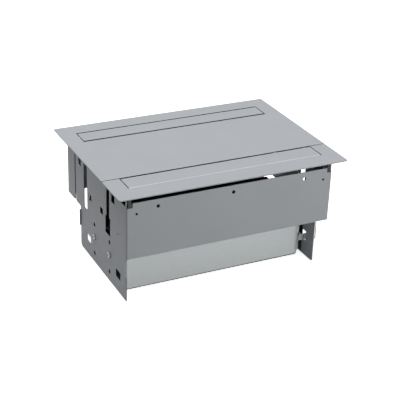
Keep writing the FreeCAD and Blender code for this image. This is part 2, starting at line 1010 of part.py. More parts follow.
def make_side_rest(label, side):
    """Carries the lift-off plate on a side wall."""
    body = new_body(label)
    start = (front_locator_y + rear_locator_y + size["locator_length"] - size["side_rest_length"]) / 2
    outer = side * inner_side
    leaf = side * (inner_side - size["bracket_thick"])
    seat = side * (inner_side - size["side_rest_seat"])
    floor = under - size["bracket_thick"]
    pad(
        body,
        "XZ",
        start,
        start + size["side_rest_length"],
        polygon(
            (outer, under - size["side_rest_leaf"]),
            (outer, under),
            (seat, under),
            (seat, floor),
            (leaf, floor),
            (leaf, under - size["side_rest_leaf"]),
        ),
    )
    return body


def make_splice(label, turned):
    """Joins a side wall to the return flange of the other shell, from inside."""
    body = new_body(label)
    seam = reach_y + size["joint_gap"] / 2
    high = top - size["splice_from_top"]
    low = panel_bottom + size["splice_rise"]
    pad(
        body,
        "YZ",
        -inner_side,
        -inner_side + thick,
        rectangle(
            seam - size["splice_width"] / 2,
            seam + size["splice_width"] / 2,
            low,
            high,
        ),
    )
    place(body, turned=turned)
    return body


make_corner_bracket("front_left_bracket", -1)
make_corner_bracket("front_right_bracket", 1)
make_rear_rest("rear_rest_left", -1)
make_rear_rest("rear_rest_right", 1)
make_side_rest("side_rest_left", -1)
make_side_rest("side_rest_right", 1)
make_splice("left_splice_strip", turned=False)
make_splice("right_splice_strip", turned=True)


def locator_solid(side, start):
    """An angle under the lift-off plate that drops inside the side wall and centres the plate."""
    outer = (inner_side - size["locator_clearance"]).number
    inner = outer - size["locator_seat"].number
    leaf = outer - size["bracket_thick"].number
    level = under.number
    floor = level - size["bracket_thick"].number
    tip = level - size["locator_drop"].number
    taper = size["bracket_thick"].number / 2
    profile = [
        (inner, level),
        (outer, level),
        (outer, tip + taper),
        (outer - taper, tip),
        (leaf, tip),
        (leaf, floor),
        (inner, floor),
    ]
    points = [FreeCAD.Vector(side * x, start.number, z) for x, z in profile]
    face = Part.Face(Part.makePolygon(points + [points[0]]))
    return face.extrude(FreeCAD.Vector(0, size["locator_length"].number, 0))


add_group(
    "cover_locators",
    [
        locator_solid(side, start)
        for side in (-1, 1)
        for start in (front_locator_y, rear_locator_y)
    ],
)


# Inner end plate: the right end of the wiring box, shaped like the leg of the front shell

end_plate = new_body("inner_end_plate")
step_level = panel_bottom - size["joint_gap"]
arm_rear = inner_front + size["arm_width"]
arm_top = under - size["corner_bracket_leaf"] - size["arm_gap"]
pad(
    end_plate,
    "YZ",
    end_plate_inner,
    end_plate_outer,
    polygon(
        (box_front, 0),
        (leg_y, 0),
        (leg_y, end_plate_top),
        (arm_rear, end_plate_top),
        (arm_rear, arm_top),
        (inner_front, arm_top),
        (inner_front, step_level),
        (box_front, step_level),
    ),
)
pad(
    end_plate,
    "XZ",
    inner_front,
    inner_front + thick,
    rectangle(
        end_plate_inner,
        end_plate_outer + size["arm_flange_width"],
        end_plate_top + size["arm_flange_inset"],
        arm_top - size["arm_flange_inset"],
    ),
)
ear_level = size["tab_level"]
plate_windows = tab_windows(ear_level, size["plate_window_width"], size["plate_window_height"])
pocket(end_plate, "YZ", end_plate_inner - margin, end_plate_outer + margin, *plate_windows)
tab_low = ear_level - size["tab_height"] / 2
tab_high = ear_level + size["tab_height"] / 2
tabs = (
    (front_tab_face, end_plate_outer - size["front_tab_length"]),
    (rear_tab_face, end_cap_outer + size["tab_gap"]),
)
for tab_face, tab_end in tabs:
    tab_outline = rectangle(tab_end, end_plate_outer, tab_low, tab_high)
    pad(end_plate, "XZ", tab_face, tab_face + thick, tab_outline)
    # the tab grows out of the plate over its own height, ahead of the window
    tab_root = rectangle(tab_face - size["tab_root"], tab_face + thick, tab_low, tab_high)
    pad(end_plate, "YZ", end_plate_inner, end_plate_outer, tab_root)
tab_screws = (
    (end_cap_outer - size["front_tab_screw_inset"], front_tab_face, -1),
    (end_cap_outer + size["rear_tab_screw_reach"], tray_rear, 1),
)
for (screw_x, _, _), (tab_face, _) in zip(tab_screws, tabs):
    tab_hole = circle(screw_x, ear_level, size["small_screw_diameter"])
    pocket(end_plate, "XZ", tab_face - margin, tab_face + thick + margin, tab_hole)
finish_edges(end_plate, "Fillet", size["front_foot_radius"], straight_edge("x", y=box_front, z=0))
finish_edges(end_plate, "Fillet", size["rear_foot_radius"], straight_edge("x", y=leg_y, z=0))
add_lug(end_plate, end_plate_outer, 1)

hanger = new_body("end_plate_hanger")
hanger_start = from_front("hanger_place")
hanger_thick = size["bracket_thick"]
hanger_shelf = end_plate_top + size["hanger_rise"]
hanger_top = hanger_shelf + size["hanger_leaf"]
pad(
    hanger,
    "XZ",
    hanger_start,
    hanger_start + size["hanger_length"],
    polygon(
        (end_plate_outer, size["hanger_bottom"]),
        (end_plate_outer + hanger_thick, size["hanger_bottom"]),
        (end_plate_outer + hanger_thick, hanger_shelf - hanger_thick),
        (inner_side, hanger_shelf - hanger_thick),
        (inner_side, hanger_top),
        (inner_side - hanger_thick, hanger_top),
        (inner_side - hanger_thick, hanger_shelf),
        (end_plate_outer, hanger_shelf),
    ),
)


# Wiring box of thin zinc-coated sheet


seat_level = size["column_screw_level"] - size["terminal_bracket_height"] / 2
terminal_bracket_top = seat_level + size["terminal_bracket_height"]


def make_tray_panel(label, face_y, inward):
    """A long panel with a wide bend at its right end and a short flange on the left wall."""
    body = new_body(label)
    gauge = size["tray_thick"]
    back_y = face_y + inward * gauge
    pad(
        body,
        "XY",
        size["tray_bottom"],
        size["tray_top"],
        polygon(
            (tray_left, face_y),
            (tray_right, face_y),
            (tray_right, face_y + inward * size["tray_return"]),
            (tray_right - gauge, face_y + inward * size["tray_return"]),
            (tray_right - gauge, back_y),
            (tray_left + gauge, back_y),
            (tray_left + gauge, face_y + inward * size["tray_left_flange"]),
            (tray_left, face_y + inward * size["tray_left_flange"]),
        ),
    )
    finish_edges(
        body,
        "Fillet",
        size["tray_bend_radius"] - gauge,
        straight_edge("z", x=tray_right - gauge, y=back_y),
    )
    finish_edges(
        body, "Fillet", size["tray_bend_radius"], straight_edge("z", x=tray_right, y=face_y)
    )
    sides = ordered(back_y, face_y + inward * (size["tray_left_flange"] + margin))
    flange_bottom = terminal_bracket_top + size["tray_flange_gap"]
    pocket(
        body,
        "XY",
        size["tray_bottom"] - margin,
        flange_bottom,
        rectangle(tray_left - margin, tray_left + gauge + margin, sides[0], sides[1]),
    )
    return body


make_tray_panel("tray_front_panel", tray_front, 1)
tray_back = make_tray_panel("tray_rear_panel", tray_rear, -1)
rear_sheet = ordered(tray_rear - size["tray_thick"], tray_rear)
clearance_each_side = 2 * size["entry_clearance"]
pocket(
    tray_back,
    "XZ",
    rear_sheet[0] - margin,
    rear_sheet[1] + margin,
    circle(-size["gland_place"], size["gland_level"], size["gland_thread"] + clearance_each_side),
    circle(size["grommet_place"], size["gland_level"], size["grommet_hole"] + clearance_each_side),
)

# The end cap stands behind the wide bend. Its ears reach to the tabs of the inner end plate.
end_cap = new_body("tray_end_cap")
cap_gauge = size["end_cap_thick"]
cap_front = tray_front + size["tray_bend_radius"]
cap_lip = end_cap_outer - size["end_cap_flange"]
pad(
    end_cap,
    "XY",
    size["tray_bottom"],
    size["tray_top"],
    polygon(
        (cap_lip, cap_front),
        (end_cap_outer, cap_front),
        (end_cap_outer, tray_rear),
        (cap_lip, tray_rear),
        (cap_lip, tray_rear - cap_gauge),
        (end_cap_inner, tray_rear - cap_gauge),
        (end_cap_inner, cap_front + cap_gauge),
        (cap_lip, cap_front + cap_gauge),
    ),
)
ear_low = ear_level - size["ear_height"] / 2
ear_high = ear_level + size["ear_height"] / 2
ear_end = end_cap_outer + size["ear_reach"]
front_ear = rectangle(end_cap_outer - size["ear_reach"], ear_end, ear_low, ear_high)
pad(end_cap, "XZ", tray_front, tray_front + cap_gauge, front_ear)
ear_neck = rectangle(tray_front, cap_front + cap_gauge, ear_low, ear_high)
pad(end_cap, "YZ", end_cap_inner, end_cap_outer, ear_neck)
rear_ear = rectangle(end_cap_inner, ear_end, ear_low, ear_high)
pad(end_cap, "XZ", tray_rear - cap_gauge, tray_rear, rear_ear)
front_room = front_tab_face + size["small_screw_length"] + size["tab_root"]
ear_holes = ((tray_front - margin, front_room), (tray_rear - cap_gauge - margin, tray_rear + margin))
for (screw_x, _, _), (hole_start, hole_end) in zip(tab_screws, ear_holes):
    ear_hole = circle(screw_x, ear_level, size["small_screw_diameter"])
    pocket(end_cap, "XZ", hole_start, hole_end, ear_hole)

floor_sheet = new_body("tray_floor")
floor_front = tray_front + size["tray_thick"] + size["tray_clearance"]
floor_rear = tray_rear - size["tray_thick"] - size["tray_clearance"]
floor_level = size["tray_bottom"]
gauge = size["tray_thick"]
pad(
    floor_sheet,
    "YZ",
    tray_left + 2 * gauge,
    tray_right - size["tray_bend_radius"],
    polygon(
        (floor_front, floor_level),
        (floor_rear, floor_level),
        (floor_rear, floor_level + size["floor_flange"]),
        (floor_rear - gauge, floor_level + size["floor_flange"]),
        (floor_rear - gauge, floor_level + gauge),
        (floor_front + gauge, floor_level + gauge),
        (floor_front + gauge, floor_level + size["floor_flange"]),
        (floor_front, floor_level + size["floor_flange"]),
    ),
)


# Module frame and the modules in it, two rows that face up

row_middle = (tray_left + tray_right) / 2
row_levels = {"front": tray_middle - row_pitch / 2, "rear": tray_middle + row_pitch / 2}
opening_half = (size["module_pitch"] * (row_count - 1) + module_opening) / 2

module_frame = new_body("module_frame")
flange_floor = frame_under - size["frame_flange"]
pad(
    module_frame,
    "YZ",
    tray_left,
    end_cap_outer,
    polygon(
        (tray_front, frame_under),
        (floor_front, frame_under),
        (floor_front, flange_floor),
        (floor_front + size["frame_thick"], flange_floor),
        (floor_front + size["frame_thick"], frame_under),
        (floor_rear - size["frame_thick"], frame_under),
        (floor_rear - size["frame_thick"], flange_floor),
        (floor_rear, flange_floor),
        (floor_rear, frame_under),
        (tray_rear, frame_under),
        (tray_rear, frame_top),
        (tray_front, frame_top),
    ),
)
pocket(
    module_frame,
    "XY",
    frame_under - margin,
    frame_top + margin,
    *[
        rectangle(
            row_middle - opening_half,
            row_middle + opening_half,
            level - module_opening / 2,
            level + module_opening / 2,
        )
        for level in row_levels.values()
    ],
)
pocket(
    module_frame,
    "XZ",
    tray_front - margin,
    tray_rear + margin,
    rectangle(
        tray_right - size["tray_bend_radius"] - margin,
        end_cap_outer + margin,
        flange_floor - margin,
        frame_under,
    ),
    rectangle(tray_left - margin, tray_left + 2 * gauge, flange_floor - margin, frame_under),
)


# a sheet stands up behind the inserts and keeps the cables of the bay off them
pad(
    module_frame,
    "YZ",
    tray_left,
    end_cap_outer - size["upstand_inset"],
    rectangle(
        tray_rear - size["frame_thick"], tray_rear, frame_under, frame_top + size["upstand_height"]
    ),
)


def start_module(label, x, y):
    """The face and the body that every module has."""
    body = new_body(label)
    half = module_face / 2
    half_body = module_body / 2
    pad(body, "XY", 0, size["module_face_thick"], rectangle(-half, half, -half, half))
    corners = [straight_edge("z", x=half * sx, y=half * sy) for sx in (-1, 1) for sy in (-1, 1)]
    finish_edges(body, "Chamfer", size["module_face_corner"], *corners)
    body_outline = rectangle(-half_body, half_body, -half_body, half_body)
    pad(body, "XY", -size["module_depth"], 0, body_outline)
    place(body, x=x, y=y, z=frame_top)
    return body


def make_mains_socket(label, x, y):
    body = start_module(label, x, y)
    face = size["module_face_thick"]
    floor = face - size["recess_depth"]
    wall = module_body / 2 - size["recess_wall"]
    pocket(body, "XY", floor, face + margin, circle(0, 0, 2 * wall))
    half_pitch = size["contact_pitch"] / 2
    pocket(
        body,
        "XY",
        floor - size["contact_depth"],
        floor,
        circle(-half_pitch, 0, size["contact_diameter"]),
        circle(half_pitch, 0, size["contact_diameter"]),
    )
    guide_half = size["guide_width"] / 2
    for low, high in ((-wall, -wall + size["guide_depth"]), (wall - size["guide_depth"], wall)):
        pad(
            body,
            "XY",
            floor,
            face - size["guide_depth"],
            rectangle(low, high, -guide_half, guide_half),
        )
    return body


def make_charger_module(label, x, y):
    body = start_module(label, x, y)
    face = size["module_face_thick"]
    half_pitch = size["port_pitch"] / 2
    end = size["port_height"] / 2
    half_width = size["port_width"] / 2
    ports = []
    for level in (-half_pitch, half_pitch):
        ports.append(
            polygon(
                (-half_width + end / 2, level - end),
                (half_width - end / 2, level - end),
                (half_width, level - end / 2),
                (half_width, level + end / 2),
                (half_width - end / 2, level + end),
                (-half_width + end / 2, level + end),
                (-half_width, level + end / 2),
                (-half_width, level - end / 2),
            )
        )
    pocket(body, "XY", face - size["port_depth"], face + margin, *ports)
    return body


def make_data_module(label, x, y):
    body = start_module(label, x, y)
    face = size["module_face_thick"]
    jack_width = (module_body - 3 * size["jack_web"]) / 2
    half_pitch = (jack_width + size["jack_web"]) / 2
    jacks = [
        centred(sign * half_pitch, as_size(0), jack_width, size["jack_height"])
        for sign in (-1, 1)
    ]
    pocket(body, "XY", face - size["jack_depth"], face + margin, *jacks)
    return body


makers = {
    "mains_socket": make_mains_socket,
    "charger_module": make_charger_module,
    "data_module": make_data_module,
}
row_plans = {
    "front": ("mains_socket", "mains_socket", "mains_socket", "charger_module", "data_module"),
    "rear": ("data_module", "charger_module", "mains_socket", "mains_socket", "mains_socket"),
}
counts = {name: 0 for name in makers}
for row_name, plan in row_plans.items():
    for place_number, name in enumerate(plan):
        counts[name] += 1
        module_x = row_middle + (place_number - (row_count - 1) / 2) * size["module_pitch"]
        makers[name]("%s_%d" % (name, counts[name]), module_x, row_levels[row_name])


# Inside the wiring box: terminal bracket with its block, and the earth stud

bracket_front = column_places[0] - size["terminal_bracket_margin"]
bracket_rear = column_places[1] + size["terminal_bracket_margin"]
terminal_bracket = new_body("terminal_bracket")
pad(
    terminal_bracket,
    "XZ",
    bracket_front,
    bracket_rear,
    polygon(
        (-inner_side, seat_level),
        (-inner_side + size["terminal_bracket_seat"], seat_level),
        (-inner_side + size["terminal_bracket_seat"], seat_level + size["bracket_thick"]),
        (-inner_side + size["bracket_thick"], seat_level + size["bracket_thick"]),
        (-inner_side + size["bracket_thick"], terminal_bracket_top),
        (-inner_side, terminal_bracket_top),
    ),
)
pocket(
    terminal_bracket,
    "YZ",
    -inner_side - margin,
    -inner_side + size["bracket_thick"] + margin,
    *side_column(size["column_screw_level"], size["screw_diameter"]),
)

terminal_block = new_body("terminal_block")
screw_room = size["screw_diameter"] / 2 + size["terminal_screw_gap"]
block_front = column_places[0] + screw_room
block_length = column_places[1] - column_places[0] - 2 * screw_room
block_left = -inner_side + size["bracket_thick"] + size["terminal_wall_gap"]
block_floor = seat_level + size["bracket_thick"]
pad(
    terminal_block,
    "XY",
    block_floor,
    block_floor + size["terminal_height"],
    rectangle(
        block_left,
        block_left + size["terminal_depth"],
        block_front,
        block_front + block_length,
    ),
)
way_pitch = block_length / size["terminal_count"]
ways = range(int(size["terminal_count"].number))
pocket(
    terminal_block,
    "YZ",
    block_left - margin,
    block_left + size["terminal_depth"] + margin,
    *[
        circle(
            block_front + way_pitch * (way + 0.5),
            block_floor + size["terminal_height"] / 3,
            size["terminal_entry"],
        )
        for way in ways
    ],
)
earth_stud = new_body("earth_stud")
stud_x = -size["stud_place"]
stud_floor = floor_level + gauge
pad(
    earth_stud,
    "XY",
    stud_floor,
    stud_floor + size["stud_height"],
    circle(stud_x, tray_middle, size["stud_diameter"]),
)
nut_width = size["stud_diameter"] * 1.6
pad(
    earth_stud,
    "XY",
    stud_floor,
    stud_floor + size["stud_diameter"] * 0.8,
    hexagon(stud_x, tray_middle, nut_width),
)


# Cable entries in the rear panel of the wiring box


def make_gland():
    body = new_body("mains_gland")
    x = -size["gland_place"]
    z = size["gland_level"]
    shoulder = tray_rear + size["gland_hex_length"]
    cap_end = shoulder + size["gland_cap_length"]
    cap_width = size["gland_across_flats"] - 2 * size["gland_cap_inset"]
    nut_end = tray_rear - size["tray_thick"] - size["gland_nut_length"]
    thread_start = nut_end - size["gland_thread_end"]
    pad(body, "XZ", tray_rear, shoulder, hexagon(x, z, size["gland_across_flats"]))
    pad(body, "XZ", shoulder, cap_end, circle(x, z, cap_width))
    pad(body, "XZ", thread_start, tray_rear, circle(x, z, size["gland_thread"]))
    finish_edges(
        body,
        "Chamfer",
        size["gland_cap_chamfer"],
        lambda edge: isinstance(edge.Curve, Part.Circle)
        and abs(edge.CenterOfMass.y - cap_end.number) < 0.02,
    )
    pocket(body, "XZ", thread_start - margin, cap_end + margin, circle(x, z, size["gland_bore"]))
    return body


make_gland()
locknut = new_body("mains_gland_locknut")
nut_rear = tray_rear - size["tray_thick"]
pad(
    locknut,
    "XZ",
    nut_rear - size["gland_nut_length"],
    nut_rear,
    hexagon(-size["gland_place"], size["gland_level"], size["gland_across_flats"]),
    circle(-size["gland_place"], size["gland_level"], size["gland_thread"] + clearance_each_side),
)

grommet = new_body("data_grommet")
grommet_x = size["grommet_place"]
lip = size["grommet_lip"]
lip_diameter = size["grommet_hole"] + 2 * lip
for low, high, diameter in (
    (tray_rear - size["tray_thick"] - lip, tray_rear - size["tray_thick"], lip_diameter),
    (tray_rear - size["tray_thick"], tray_rear, size["grommet_hole"]),
    (tray_rear, tray_rear + lip, lip_diameter),
):
    pad(grommet, "XZ", low, high, circle(grommet_x, size["gland_level"], diameter))
pocket(
    grommet,
    "XZ",
    tray_rear - size["tray_thick"] - lip - margin,
    tray_rear + lip + margin,
    circle(grommet_x, size["gland_level"], size["grommet_bore"]),
)


# Fasteners, identical ones together


def screw_solid(kind, x, y, z, axis):
    """A pan-head screw whose head seats on the point and whose shank runs back along the axis."""
    radius = size[kind + "screw_diameter"].number / 2
    head = size[("small_head_" if kind else "screw_head_") + "diameter"].number / 2
    height = size[("small_head_" if kind else "screw_head_") + "height"].number
    length = size[kind + "screw_length"].number
    profile = [
        (0, -length),
        (radius, -length),
        (radius, 0),
        (head, 0),
        (head, height),
        (0, height),
    ]
    return turned_solid(profile, x.number, y.number, z.number, axis)


add_group(
    "side_screws",
    [screw_solid("", -half_box, y, size["column_screw_level"], (-1, 0, 0)) for y in column_places],
)
add_group(
    "tab_screws",
    [screw_solid("small_", x, y, ear_level, (0, outward, 0)) for x, y, outward in tab_screws],
)


# Checks, then one file for each piece

doc.recompute()
faults = []
for item in doc.Objects:
    if "Invalid" in item.State or "Error" in item.State:
        faults.append(item.Name + " did not build")
for piece in pieces:
    if piece.Shape.isNull() or not piece.Shape.isValid():
        faults.append(piece.Label + " has no valid shape")
if faults:
    raise RuntimeError("; ".join(faults))

os.makedirs("parts", exist_ok=True)
for piece in pieces:
    piece.Shape.exportStep("parts/" + piece.Label + ".step")
    print("%-28s solids %d volume %.1f" % (piece.Label, len(piece.Shape.Solids), piece.Shape.Volume))
print("pieces", len(pieces))
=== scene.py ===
import json
import math
import bmesh
import bpy
import numpy as np
from mathutils import Matrix, Vector


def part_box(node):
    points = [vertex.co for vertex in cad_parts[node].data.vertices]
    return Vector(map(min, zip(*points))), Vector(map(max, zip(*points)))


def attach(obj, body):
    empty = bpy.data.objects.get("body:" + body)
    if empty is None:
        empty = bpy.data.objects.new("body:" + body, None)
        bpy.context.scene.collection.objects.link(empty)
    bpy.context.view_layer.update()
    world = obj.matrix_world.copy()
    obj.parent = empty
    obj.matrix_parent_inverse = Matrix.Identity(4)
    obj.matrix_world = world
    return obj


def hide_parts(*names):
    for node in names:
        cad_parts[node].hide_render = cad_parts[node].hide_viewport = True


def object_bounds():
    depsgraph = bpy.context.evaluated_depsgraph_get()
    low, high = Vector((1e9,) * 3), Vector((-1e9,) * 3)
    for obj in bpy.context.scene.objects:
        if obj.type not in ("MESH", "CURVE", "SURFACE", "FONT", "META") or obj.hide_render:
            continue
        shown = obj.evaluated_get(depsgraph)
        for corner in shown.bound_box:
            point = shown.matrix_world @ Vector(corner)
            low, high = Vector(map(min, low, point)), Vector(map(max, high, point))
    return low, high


# Desktop socket block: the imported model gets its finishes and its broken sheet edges, and the small parts
# that are easier to shape as surfaces. Metres throughout.

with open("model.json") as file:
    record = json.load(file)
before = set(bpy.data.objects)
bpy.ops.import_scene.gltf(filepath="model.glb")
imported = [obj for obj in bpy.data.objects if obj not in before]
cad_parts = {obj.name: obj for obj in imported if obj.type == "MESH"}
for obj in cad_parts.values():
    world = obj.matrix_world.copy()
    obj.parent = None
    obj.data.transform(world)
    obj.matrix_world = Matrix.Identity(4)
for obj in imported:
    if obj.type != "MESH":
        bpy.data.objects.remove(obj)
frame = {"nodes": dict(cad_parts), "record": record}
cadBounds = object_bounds()
nodes = frame["nodes"]
record = frame["record"]
nodeBody = {node: body for body, members in record["behaviour"]["bodies"].items() for node in members}
nodeSlot = {part["node"]: part["material_slot"] for part in record["subparts"]}
print("frame loaded,", len(nodes), "nodes")


# Finishes

white = (1.0, 1.0, 1.0)
patternMiddle = (0.3, 0.7)  # the stretch of a noise pattern that is spread over a range of values


def newFinish(name):
    finish = bpy.data.materials.new(name)
    finish.use_nodes = True
    tree = finish.node_tree
    tree.nodes.clear()
    output = tree.nodes.new("ShaderNodeOutputMaterial")
    shader = tree.nodes.new("ShaderNodeBsdfPrincipled")
    tree.links.new(shader.outputs["BSDF"], output.inputs["Surface"])
    coords = tree.nodes.new("ShaderNodeTexCoord")
    return finish, tree, shader, coords.outputs["Object"]


def noisePattern(tree, coords, scale, detail=2.0, roughness=0.5):
    noise = tree.nodes.new("ShaderNodeTexNoise")
    noise.inputs["Scale"].default_value = scale
    noise.inputs["Detail"].default_value = detail
    noise.inputs["Roughness"].default_value = roughness
    tree.links.new(coords, noise.inputs["Vector"])
    return noise.outputs["Fac"]


def stretched(tree, coords, scale):
    mapping = tree.nodes.new("ShaderNodeMapping")
    mapping.inputs["Scale"].default_value = scale
    tree.links.new(coords, mapping.inputs["Vector"])
    return mapping.outputs["Vector"]


def shade(level, tint=white):
    return tuple(level * part for part in tint)


def spreadValue(tree, pattern, low, high):
    node = tree.nodes.new("ShaderNodeMapRange")
    node.inputs["From Min"].default_value = patternMiddle[0]
    node.inputs["From Max"].default_value = patternMiddle[1]
    node.inputs["To Min"].default_value = low
    node.inputs["To Max"].default_value = high
    tree.links.new(pattern, node.inputs["Value"])
    return node.outputs["Result"]


def spreadColour(tree, pattern, low, high):
    node = tree.nodes.new("ShaderNodeValToRGB")
    for element, place, colour in zip(node.color_ramp.elements, patternMiddle, (low, high)):
        element.position = place
        element.color = (*colour, 1.0)
    tree.links.new(pattern, node.inputs["Fac"])
    return node.outputs["Color"]


def spreadTone(tree, pattern, middle, share, tint=white):
    # from a share below the middle tone to the same share above it
    return spreadColour(tree, pattern, shade(middle * (1 - share), tint), shade(middle * (1 + share), tint))


def multiplied(tree, first, second):
    node = tree.nodes.new("ShaderNodeMix")
    node.data_type = "RGBA"
    node.blend_type = "MULTIPLY"
    node.inputs["Factor"].default_value = 1.0
    tree.links.new(first, node.inputs[6])  # inputs 6 and 7 and output 2 are the node's colours
    tree.links.new(second, node.inputs[7])
    return node.outputs[2]


def addBump(tree, shader, height, strength, distance):
    bump = tree.nodes.new("ShaderNodeBump")
    bump.inputs["Strength"].default_value = strength
    bump.inputs["Distance"].default_value = distance
    tree.links.new(height, bump.inputs["Height"])
    tree.links.new(bump.outputs["Normal"], shader.inputs["Normal"])


def coatFinish(name, look):
    # matt baked coat: slow drift of tone, fine flake, a faint orange peel in the surface
    finish, tree, shader, coords = newFinish(name)
    drift = spreadTone(tree, noisePattern(tree, coords, look["driftScale"], detail=3.0),
                       look["tone"], look["drift"], look["tint"])
    flake = spreadTone(tree, noisePattern(tree, coords, look["flakeScale"], detail=1.0), 1.0, look["flake"])
    tree.links.new(multiplied(tree, drift, flake), shader.inputs["Base Color"])
    sheen = noisePattern(tree, coords, look["sheenScale"])
    tree.links.new(spreadValue(tree, sheen, *look["roughness"]), shader.inputs["Roughness"])
    shader.inputs["Specular IOR Level"].default_value = look["gloss"]
    addBump(tree, shader, noisePattern(tree, coords, look["peelScale"]), look["peel"], look["peelDepth"])
    return finish


def zincFinish(name, look):
    # dip zinc: crystals of slightly different tone, under a haze drawn along the sheet
    finish, tree, shader, coords = newFinish(name)
    cells = tree.nodes.new("ShaderNodeTexVoronoi")
    cells.inputs["Scale"].default_value = look["crystalScale"]
    tree.links.new(coords, cells.inputs["Vector"])
    tone = tree.nodes.new("ShaderNodeRGBToBW")
    tree.links.new(cells.outputs["Color"], tone.inputs["Color"])
    crystal = spreadTone(tree, tone.outputs["Val"], look["tone"], look["crystal"], look["tint"])
    drawn = stretched(tree, coords, look["hazeStretch"])
    hazePattern = noisePattern(tree, drawn, look["hazeScale"], detail=4.0, roughness=0.6)
    haze = spreadTone(tree, hazePattern, 1.0, look["haze"])
    tree.links.new(multiplied(tree, crystal, haze), shader.inputs["Base Color"])
    tree.links.new(spreadValue(tree, tone.outputs["Val"], *look["roughness"]), shader.inputs["Roughness"])
    shader.inputs["Metallic"].default_value = look["metal"]
    addBump(tree, shader, noisePattern(tree, coords, look["grainScale"]), look["grain"], look["grainDepth"])
    return finish


def metalFinish(name, look):
    # plated or turned metal with fine turning marks
    finish, tree, shader, coords = newFinish(name)
    marks = noisePattern(tree, coords, look["markScale"], detail=3.0, roughness=0.6)
    colours = spreadColour(tree, marks, shade(look["darkest"], look["colour"]), look["colour"])
    tree.links.new(colours, shader.inputs["Base Color"])
    tree.links.new(spreadValue(tree, marks, *look["roughness"]), shader.inputs["Roughness"])
    shader.inputs["Metallic"].default_value = 1.0
    addBump(tree, shader, marks, look["marks"], look["markDepth"])
    return finish


def mouldedFinish(name, look):
    # moulded plastic or rubber: spark-eroded grain, with a slow drift of tone
    finish, tree, shader, coords = newFinish(name)
    driftPattern = noisePattern(tree, coords, look["driftScale"])
    drift = spreadTone(tree, driftPattern, 1.0, look["drift"], look["colour"])
    tree.links.new(drift, shader.inputs["Base Color"])
    sheen = noisePattern(tree, coords, look["sheenScale"])
    tree.links.new(spreadValue(tree, sheen, *look["roughness"]), shader.inputs["Roughness"])
    shader.inputs["Specular IOR Level"].default_value = look["gloss"]
    grain = noisePattern(tree, coords, look["grainScale"], detail=1.0)
    addBump(tree, shader, grain, look["grain"], look["grainDepth"])
    return finish


coatLook = {"tone": 0.507, "tint": (0.955, 1.0, 1.05), "drift": 0.02, "driftScale": 14.0,
            "flake": 0.025, "flakeScale": 1700.0, "roughness": (0.53, 0.63), "sheenScale": 212.5,
            "peel": 0.10, "peelScale": 850.0, "peelDepth": 0.0002, "gloss": 0.18}
zincLook = {"tone": 0.605, "tint": (0.945, 1.0, 1.0), "crystal": 0.012, "crystalScale": 210.0,
            "haze": 0.012, "hazeScale": 60.0, "hazeStretch": (1, 1, 3), "roughness": (0.44, 0.56),
            "metal": 0.20, "grain": 0.06, "grainScale": 1400.0, "grainDepth": 0.0001}
darkLook = {**coatLook, "tone": 0.03, "tint": white, "drift": 0.10, "driftScale": 60.0,
            "flake": 0.05, "roughness": (0.55, 0.65), "gloss": 0.20}
turnedLook = {"darkest": 0.92, "markScale": 900.0, "marks": 0.08, "markDepth": 0.0001}
mouldedLook = {"drift": 0.12, "driftScale": 45.0, "sheenScale": 300.0, "grainDepth": 0.0002}

brightSteelLook = {**turnedLook, "colour": (0.50, 0.51, 0.53), "roughness": (0.27, 0.40)}
brassLook = {**turnedLook, "colour": (0.72, 0.53, 0.26), "roughness": (0.23, 0.36), "markScale": 700.0}
screwLook = {**turnedLook, "colour": (0.23, 0.235, 0.245), "roughness": (0.41, 0.54)}
insertLook = {**mouldedLook, "colour": (0.052, 0.054, 0.058), "roughness": (0.40, 0.52), "gloss": 0.45,
              "grain": 0.12, "grainScale": 2200.0}
glandLook = {**mouldedLook, "colour": (0.024, 0.024, 0.025), "roughness": (0.46, 0.58), "gloss": 0.40,
             "grain": 0.15, "grainScale": 1800.0}
rubberLook = {**mouldedLook, "colour": (0.020, 0.020, 0.020), "roughness": (0.68, 0.80), "gloss": 0.25,
              "grain": 0.20, "grainScale": 1200.0}

finishes = {
    "coated_steel": coatFinish("coatedSteel", coatLook),
    "zinc_coated_steel": zincFinish("zincCoatedSteel", zincLook),
    "bright_steel": metalFinish("brightSteel", brightSteelLook),
    "module_plastic": mouldedFinish("modulePlastic", insertLook),
    "gland_plastic": mouldedFinish("glandPlastic", glandLook),
    "rubber": mouldedFinish("softRubber", rubberLook),
    "brass": metalFinish("turnedBrass", brassLook),
}
# painted shade: nearly black for the walls of gaps, the rims of holes and the line under the front panel
shadePaintFinish = coatFinish("paintedGapShade", darkLook)
# painted shade on the corner brackets under the plate's overhang, and dark joints on the splice strips
shadeAndJointFinish = coatFinish("paintedShadeAndDarkJoints", {**darkLook, "tone": 0.07, "roughness": (0.45, 0.55)})
# painted shade: the module frame inside the box is coloured nearly black, for the shade in there
frameShadeFinish = coatFinish("paintedShadeZinc",
                             {**darkLook, "tone": 0.022, "roughness": (0.65, 0.75), "gloss": 0.04})
# nearly black for the inner face of the end plate, behind its front stretch
endPlateBandFinish = coatFinish("darkBandOnEndPlate", {**darkLook, "tone": 0.018, "peel": 0.03, "gloss": 0.10})
# painted highlight on the hinge beads
paintedHighlightFinish = coatFinish("paintedBeadSheen", {**coatLook, "tone": 0.80, "roughness": (0.35, 0.45), "gloss": 0.5})
screwFinish = metalFinish("dullScrewPlating", screwLook)
print("finishes made")

# nearly black behind the notches at the front corners and under the inserts, as painted shade; dark in the
# joints of the shells
ownFinishes = {"front_left_bracket": shadeAndJointFinish, "front_right_bracket": shadeAndJointFinish,
               "left_splice_strip": shadeAndJointFinish, "right_splice_strip": shadeAndJointFinish,
               "module_frame": frameShadeFinish}
for name, node in nodes.items():
    node.data.materials.clear()
    node.data.materials.append(ownFinishes.get(name, finishes[nodeSlot[name]]))


# Work on single sheets: each function gets the piece's mesh and name, and the index of the finish it gives

near = 1e-5  # within this distance a point counts as lying on an edge or in a plane


